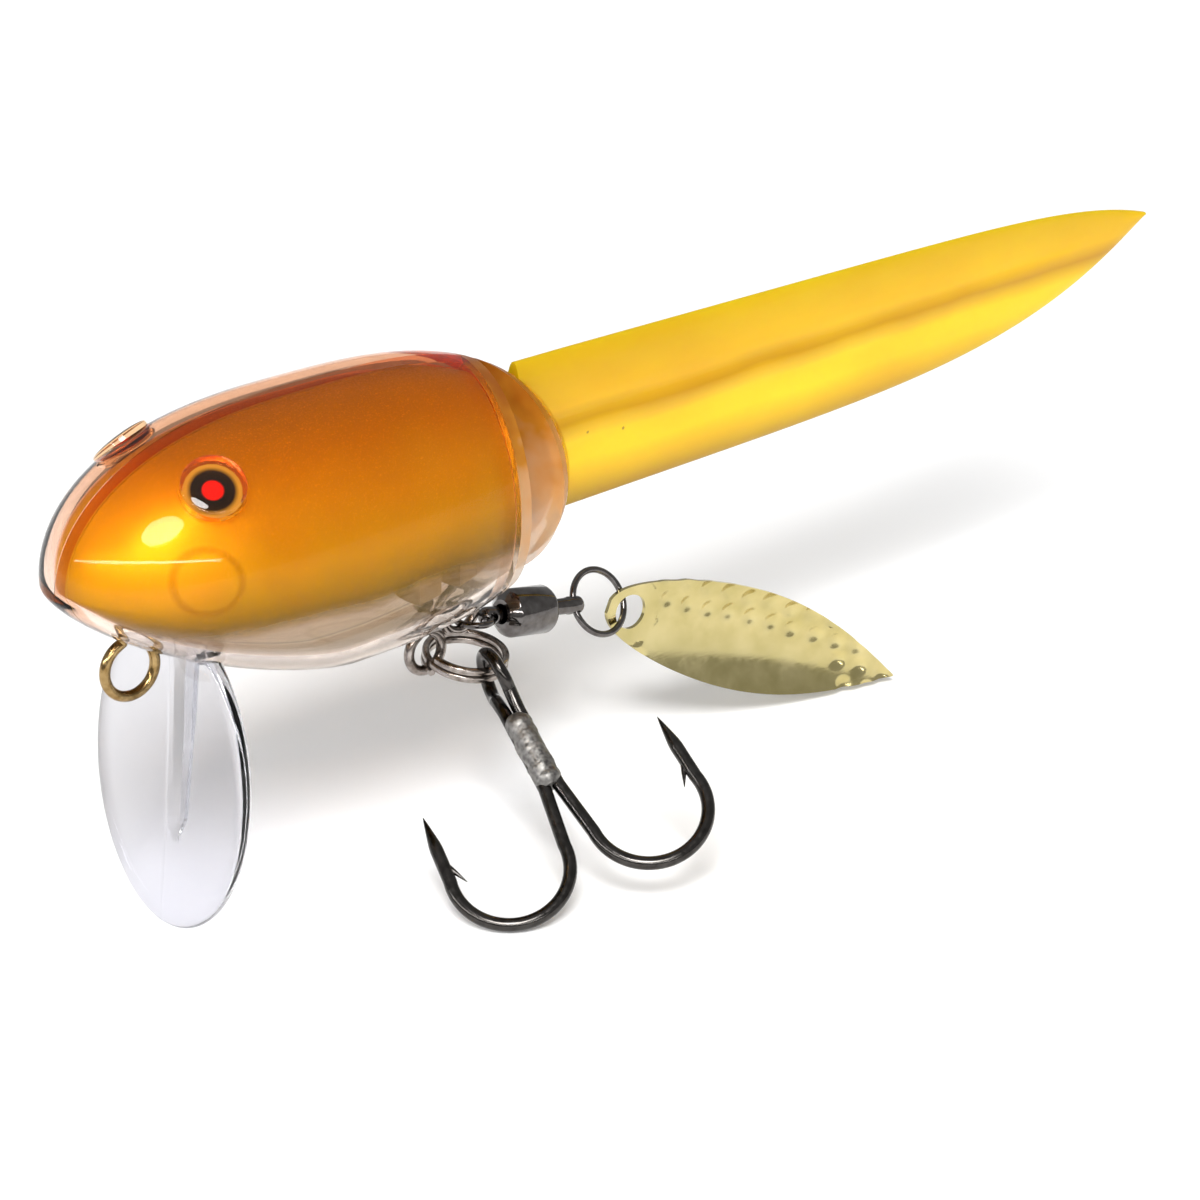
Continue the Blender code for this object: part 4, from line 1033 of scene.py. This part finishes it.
def double_hook():
    """One wire with a bend and a barb at each end, folded to an eye in its middle."""
    eye, down, sideways, face = hook_axes()

    def place(x, y, z=0.0):
        return eye + sideways * x + down * y + face * z

    leg, radii = hook_leg()
    loop = hook_eye()
    path = [place(-x, y) for x, y in reversed(leg)] + [place(*point) for point in loop + leg]
    bm = wire(path, radii[::-1] + [HOOK_WIRE] * len(loop) + radii, 20)
    for sign in (-1, 1):
        across, along = leg[-BARB_STEPS_FROM_TIP]
        root = place(sign * (across - BARB_SINK), along - BARB_ROOT_RISE)
        tip = place(sign * (across - BARB_SPREAD), along + BARB_LENGTH)
        merge(bm, wire([root, root.lerp(tip, 0.5), tip], BARB_RADII, 10))
    add_piece("double_hook_wire", bm, "black_nickel", "hook", ["double_hook"])
    braze(eye, down)


def braze(eye, down, steps=40):
    """Rough solder round the two shanks."""
    profile = []
    for i in range(steps + 1):
        t = i / steps
        fullness = sin(pi / 2 * min(min(t, 1 - t) / BRAZE_TAPER_SHARE, 1.0))
        profile.append(((BRAZE_END - BRAZE_START) * t,
                        BRAZE_RADIUS * (BRAZE_END_SHARE + (1 - BRAZE_END_SHARE) * fullness)))
    bm = turned(eye + down * BRAZE_START, down, profile, 28)
    for vertex in bm.verts:
        centre = eye + down * (vertex.co - eye).dot(down)
        lump = sum(noise.noise(vertex.co * scale) * height for scale, height in BRAZE_LUMPS)
        vertex.co = centre + (vertex.co - centre) * (1 + lump / BRAZE_RADIUS)
    add_piece("hook_braze", bm, "braze", "hook")


# ---- swivel and blade

def smooth_ring(name, centre, first, second, radius, body, stands_for):
    points = [centre + (first * cos(a) + second * sin(a)) * radius for a in turn_angles(96)]
    add_piece(name, wire(points, SWIVEL_WIRE, 18, True), "dark_chrome", body,
              [stands_for])


def swivel_stem(name, hole, axis, hole_axis, length, body, stands_for):
    """A stem with a round nose, its edges broken, and a cross hole."""
    neck = STEM_NECK_SHARE * STEM_RADIUS
    profile = [(along * STEM_NOSE, radius * STEM_RADIUS) for along, radius in STEM_PROFILE]
    profile += [(STEM_NECK_START, neck), (length, neck)]
    piece = add_piece(name, turned(hole, axis, profile, 40), "dark_chrome", body,
                      [stands_for])
    drill(piece, hole, hole_axis, STEM_HOLE_RADIUS, 24)


def drill(piece, hole, axis, radius, sides):
    """Cut a round hole right through a piece."""
    cut(piece, turned(hole - axis * CUT_REACH, axis, [(0.0, radius), (2 * CUT_REACH, radius)], sides))


def barrel(origin, axis):
    """The barrel, with chamfered ends and broken edges."""
    face = BARREL_RADIUS - BARREL_CHAMFER
    end = [(0.0, BARREL_BORE), (0.0, face - BARREL_EDGE), (BARREL_EDGE, face),
           (BARREL_CHAMFER - BARREL_EDGE, BARREL_RADIUS - BARREL_EDGE),
           (BARREL_CHAMFER + BARREL_EDGE, BARREL_RADIUS)]
    profile = end + [(BARREL_LENGTH - along, radius) for along, radius in reversed(end)]
    add_piece("barrel_turned", turned(origin, axis, profile, 72, True), "dark_chrome", "barrel",
              ["swivel_barrel"])


def swivel():
    ring_front = pivot("swivel_ring_swing")
    front = pivot("swivel_swing")
    rear = pivot("rear_ring_swing")
    axis = (rear - front).normalized()
    ring_line = (front - ring_front).normalized()
    across = Vector((0, 1, 0))
    tangent = Vector(JOINTS["rear_ring_swing"]["axis"]).normalized()
    smooth_ring("front_ring_wire", (front + ring_front) / 2, ring_line, across, SWIVEL_RING_RADIUS,
                "swivel_ring", "swivel_front_ring")
    smooth_ring("rear_ring_wire", rear + axis * REAR_RING_RADIUS, axis, tangent, REAR_RING_RADIUS,
                "rear_ring", "swivel_rear_ring")
    swivel_stem("front_stem_turned", front, axis, across, BARREL_START + STEM_IN_BARREL, "front_stem",
                "swivel_front_stem")
    rear_room = (rear - front).length - BARREL_START - BARREL_LENGTH
    swivel_stem("rear_stem_turned", rear, -axis, tangent, rear_room + STEM_IN_BARREL, "rear_stem",
                "swivel_rear_stem")
    barrel(front + axis * BARREL_START, axis)


def blade_axes():
    """Hole centre and the blade's length, width and face directions."""
    seat = pivot("blade_swing")
    drop = (seat.z - FLOOR_Z - BLADE_TIP_HEIGHT) / (BLADE_LENGTH - BLADE_HOLE_OFFSET)
    level = sqrt(1 - drop ** 2)
    length = Vector((level * cos(BLADE_HEADING), level * sin(BLADE_HEADING), -drop))
    flat_normal = Vector((sin(BLADE_HEADING), -cos(BLADE_HEADING), 0))
    normal = Matrix.Rotation(BLADE_ROLL, 3, length) @ flat_normal
    return seat + length * BLADE_HANG, length, normal.cross(length), normal


def dimple(along, across):
    """Depth of the hammer marks: offset rows of round hollows on the upper half and towards both ends."""
    row = round(across / (DIMPLE_ROW_SHARE * DIMPLE_SPACING))
    shift = 0.5 * DIMPLE_SPACING * (row % 2)
    column = round((along - shift) / DIMPLE_SPACING)
    x_scale, y_scale, level = DIMPLE_NOISE
    wander = noise.noise_vector(Vector((column * x_scale, row * y_scale, level))) * DIMPLE_WANDER
    centre_along = column * DIMPLE_SPACING + shift + wander.x
    centre_across = row * DIMPLE_ROW_SHARE * DIMPLE_SPACING + wander.y
    away = hypot(along - centre_along, across - centre_across) / DIMPLE_RADIUS
    share = (centre_along + BLADE_HOLE_OFFSET) / BLADE_LENGTH
    plain = centre_across < PLAIN_BELOW and PLAIN_FROM < share < PLAIN_TO
    if away > 1 or plain or hypot(along, across) < PLAIN_ROUND_HOLE:
        return 0.0
    return DIMPLE_DEPTH * (1 - away * away) ** 2


def blade():
    """The hammered leaf: cupped along its length, with a hole for the ring."""
    hole, length, width, normal = blade_axes()
    stations, steps = 200, 64
    rings = []
    for i in range(stations + 1):
        t = BLADE_FROM + BLADE_SHARE * i / stations
        along = t * BLADE_LENGTH - BLADE_HOLE_OFFSET
        fullness = BLADE_ROOT_FULLNESS + BLADE_TIP_SHARPNESS * t
        half = BLADE_WIDTH / 2 * sin(pi * t ** BLADE_WIDEST_POWER) ** fullness
        face, back = [], []
        for k in range(steps + 1):
            v = sin(pi / 2 * (2 * k / steps - 1))
            depth = BLADE_CUP * (1 - v * v) * sin(pi * t) ** BLADE_CUP_POWER
            depth += dimple(along, v * half)
            point = hole + length * along + width * (v * half) - normal * depth
            face.append(point + normal * BLADE_THICKNESS / 2)
            back.append(point - normal * BLADE_THICKNESS / 2)
        rings.append(face + back[::-1])
    piece = add_piece("hammered_blade", skin(rings), "brass", "blade", ["spinner_blade"])
    drill(piece, hole, normal, BLADE_HOLE_RADIUS, 48)


# ---- studio

def sky():
    """A white room: bright overhead and behind, darker low down on the camera's side."""
    world = bpy.data.worlds.new("studio")
    bpy.context.scene.world = world
    world.use_nodes = True
    tree = world.node_tree
    background = tree.nodes["Background"]
    place = tree.nodes.new("ShaderNodeTexCoord")
    lean = tree.nodes.new("ShaderNodeVectorMath")
    lean.operation = "DOT_PRODUCT"
    lean.inputs[1].default_value = SKY_BRIGHT_SIDE
    tree.links.new(place.outputs["Generated"], lean.inputs[0])
    stops = [(position, (level, level, level))
             for position, level in ((0.0, SKY_LOW), (0.45, SKY_MIDDLE), (0.9, SKY_HIGH))]
    tree.links.new(add_ramp(tree, lean.outputs["Value"], stops), background.inputs["Color"])


def studio():
    """The sky, a plain floor at the foot of the lure, and two lamps."""
    sky()
    bm = bmesh.new()
    bmesh.ops.create_grid(bm, x_segments=1, y_segments=1, size=FLOOR_HALF_SIZE,
                          matrix=Matrix.Translation((0, 0, FLOOR_Z)))
    floor = make_object("floor", make_mesh("floor", bm))
    floor_paper()
    floor.data.materials.append(MATERIALS["floor_paper"])
    add_lamp("key", "SUN", SUN_FROM, SUN_STRENGTH, angle=SUN_WIDTH)
    add_lamp("window", "AREA", WINDOW_PLACE, WINDOW_POWER, shape="RECTANGLE", size=WINDOW_WIDTH,
             size_y=WINDOW_HEIGHT)


def floor_paper():
    """Pale paper, a little cloudy."""
    shader = Shader("floor_paper", (0.92, 0.92, 0.92), 0.6)
    shader.colour(shader.ramp(shader.noise(40.0), (0.3, (0.94, 0.94, 0.94)), (0.7, (0.97, 0.97, 0.97))))


def add_lamp(name, kind, place, power, **values):
    """A lamp that points at the body."""
    light = bpy.data.lights.new(name, kind)
    light.energy = power
    for key, value in values.items():
        setattr(light, key, value)
    lamp = make_object(name, light)
    lamp.location = place
    lamp.rotation_euler = (Vector((WIDEST_X, 0, 0)) - Vector(place)).to_track_quat("-Z", "Y").to_euler()


def camera():
    data = bpy.data.cameras.new("camera")
    data.sensor_width = 36.0
    data.lens = LENS
    data.clip_start = 0.01
    data.clip_end = 10.0
    piece = make_object("camera", data)
    back = Vector((
        sin(CAMERA_AZIMUTH) * cos(CAMERA_ELEVATION),
        -cos(CAMERA_AZIMUTH) * cos(CAMERA_ELEVATION),
        sin(CAMERA_ELEVATION),
    ))
    piece.location = CAMERA_PLACE
    piece.rotation_euler = (-back).to_track_quat("-Z", "Y").to_euler()
    bpy.context.scene.camera = piece


# ---- assembly

clear_plastic("clear_shell", (0.90, 0.80, 0.72), (0.86, 0.45, 0.26),
              ripple=0.00001, ior=1.10, gloss=0.3, coat=0.16)
clear_plastic("clear_lens", (0.90, 0.75, 0.55), (0.86, 0.55, 0.30),
              ripple=0.000002, ior=1.10, gloss=0.6, coat=0.6)
clear_plastic("clear_lip", (0.70, 0.70, 0.73), (0.70, 0.70, 0.73),
              ripple=0.00003, ior=1.16, gloss=1.0, coat=0.6)
amber_paint()
rear_paint()
inner_plastic()
joint_plastic()
eye_print()
metal("bronze_wire", (0.20, 0.12, 0.04), (0.42, 0.29, 0.13), 0.17)
metal("bright_steel", (0.50, 0.49, 0.48), (0.72, 0.72, 0.72), 0.18)
metal("black_nickel", (0.040, 0.037, 0.034), (0.075, 0.070, 0.066), 0.17)
metal("dark_steel", (0.16, 0.13, 0.11), (0.42, 0.38, 0.35), 0.16)
metal("braze", (0.12, 0.115, 0.11), (0.34, 0.33, 0.31), 0.42, 2500.0, 0.00002)
metal("dark_chrome", (0.10, 0.09, 0.085), (0.17, 0.16, 0.155), 0.09)
metal("brass", (0.48, 0.41, 0.17), (0.64, 0.55, 0.27), 0.17, 400.0)
soft_yellow()
CAD_FINISHES = {name: "bright_steel" for name in ("joint_pin", "rattle_ball")}
CAD_FINISHES.update({f"swivel_ball_{i}": "bright_steel" for i in range(1, 7)})
CAD_FINISHES.update({f"eye_foil_{label}": "eye_print" for label in ("left", "right")})
for name, finish in CAD_FINISHES.items():
    NODES[name].data.materials.clear()
    NODES[name].data.materials.append(MATERIALS[finish])
noise.seed_set(MARK_SEED)
camera()
studio()
front_section()
rear_section()
joint_parts()
lip()
wire_eyes()
inner_features()
tail()
split_ring()
double_hook()
swivel()
blade()
bpy.context.scene.view_settings.view_transform = "Standard"
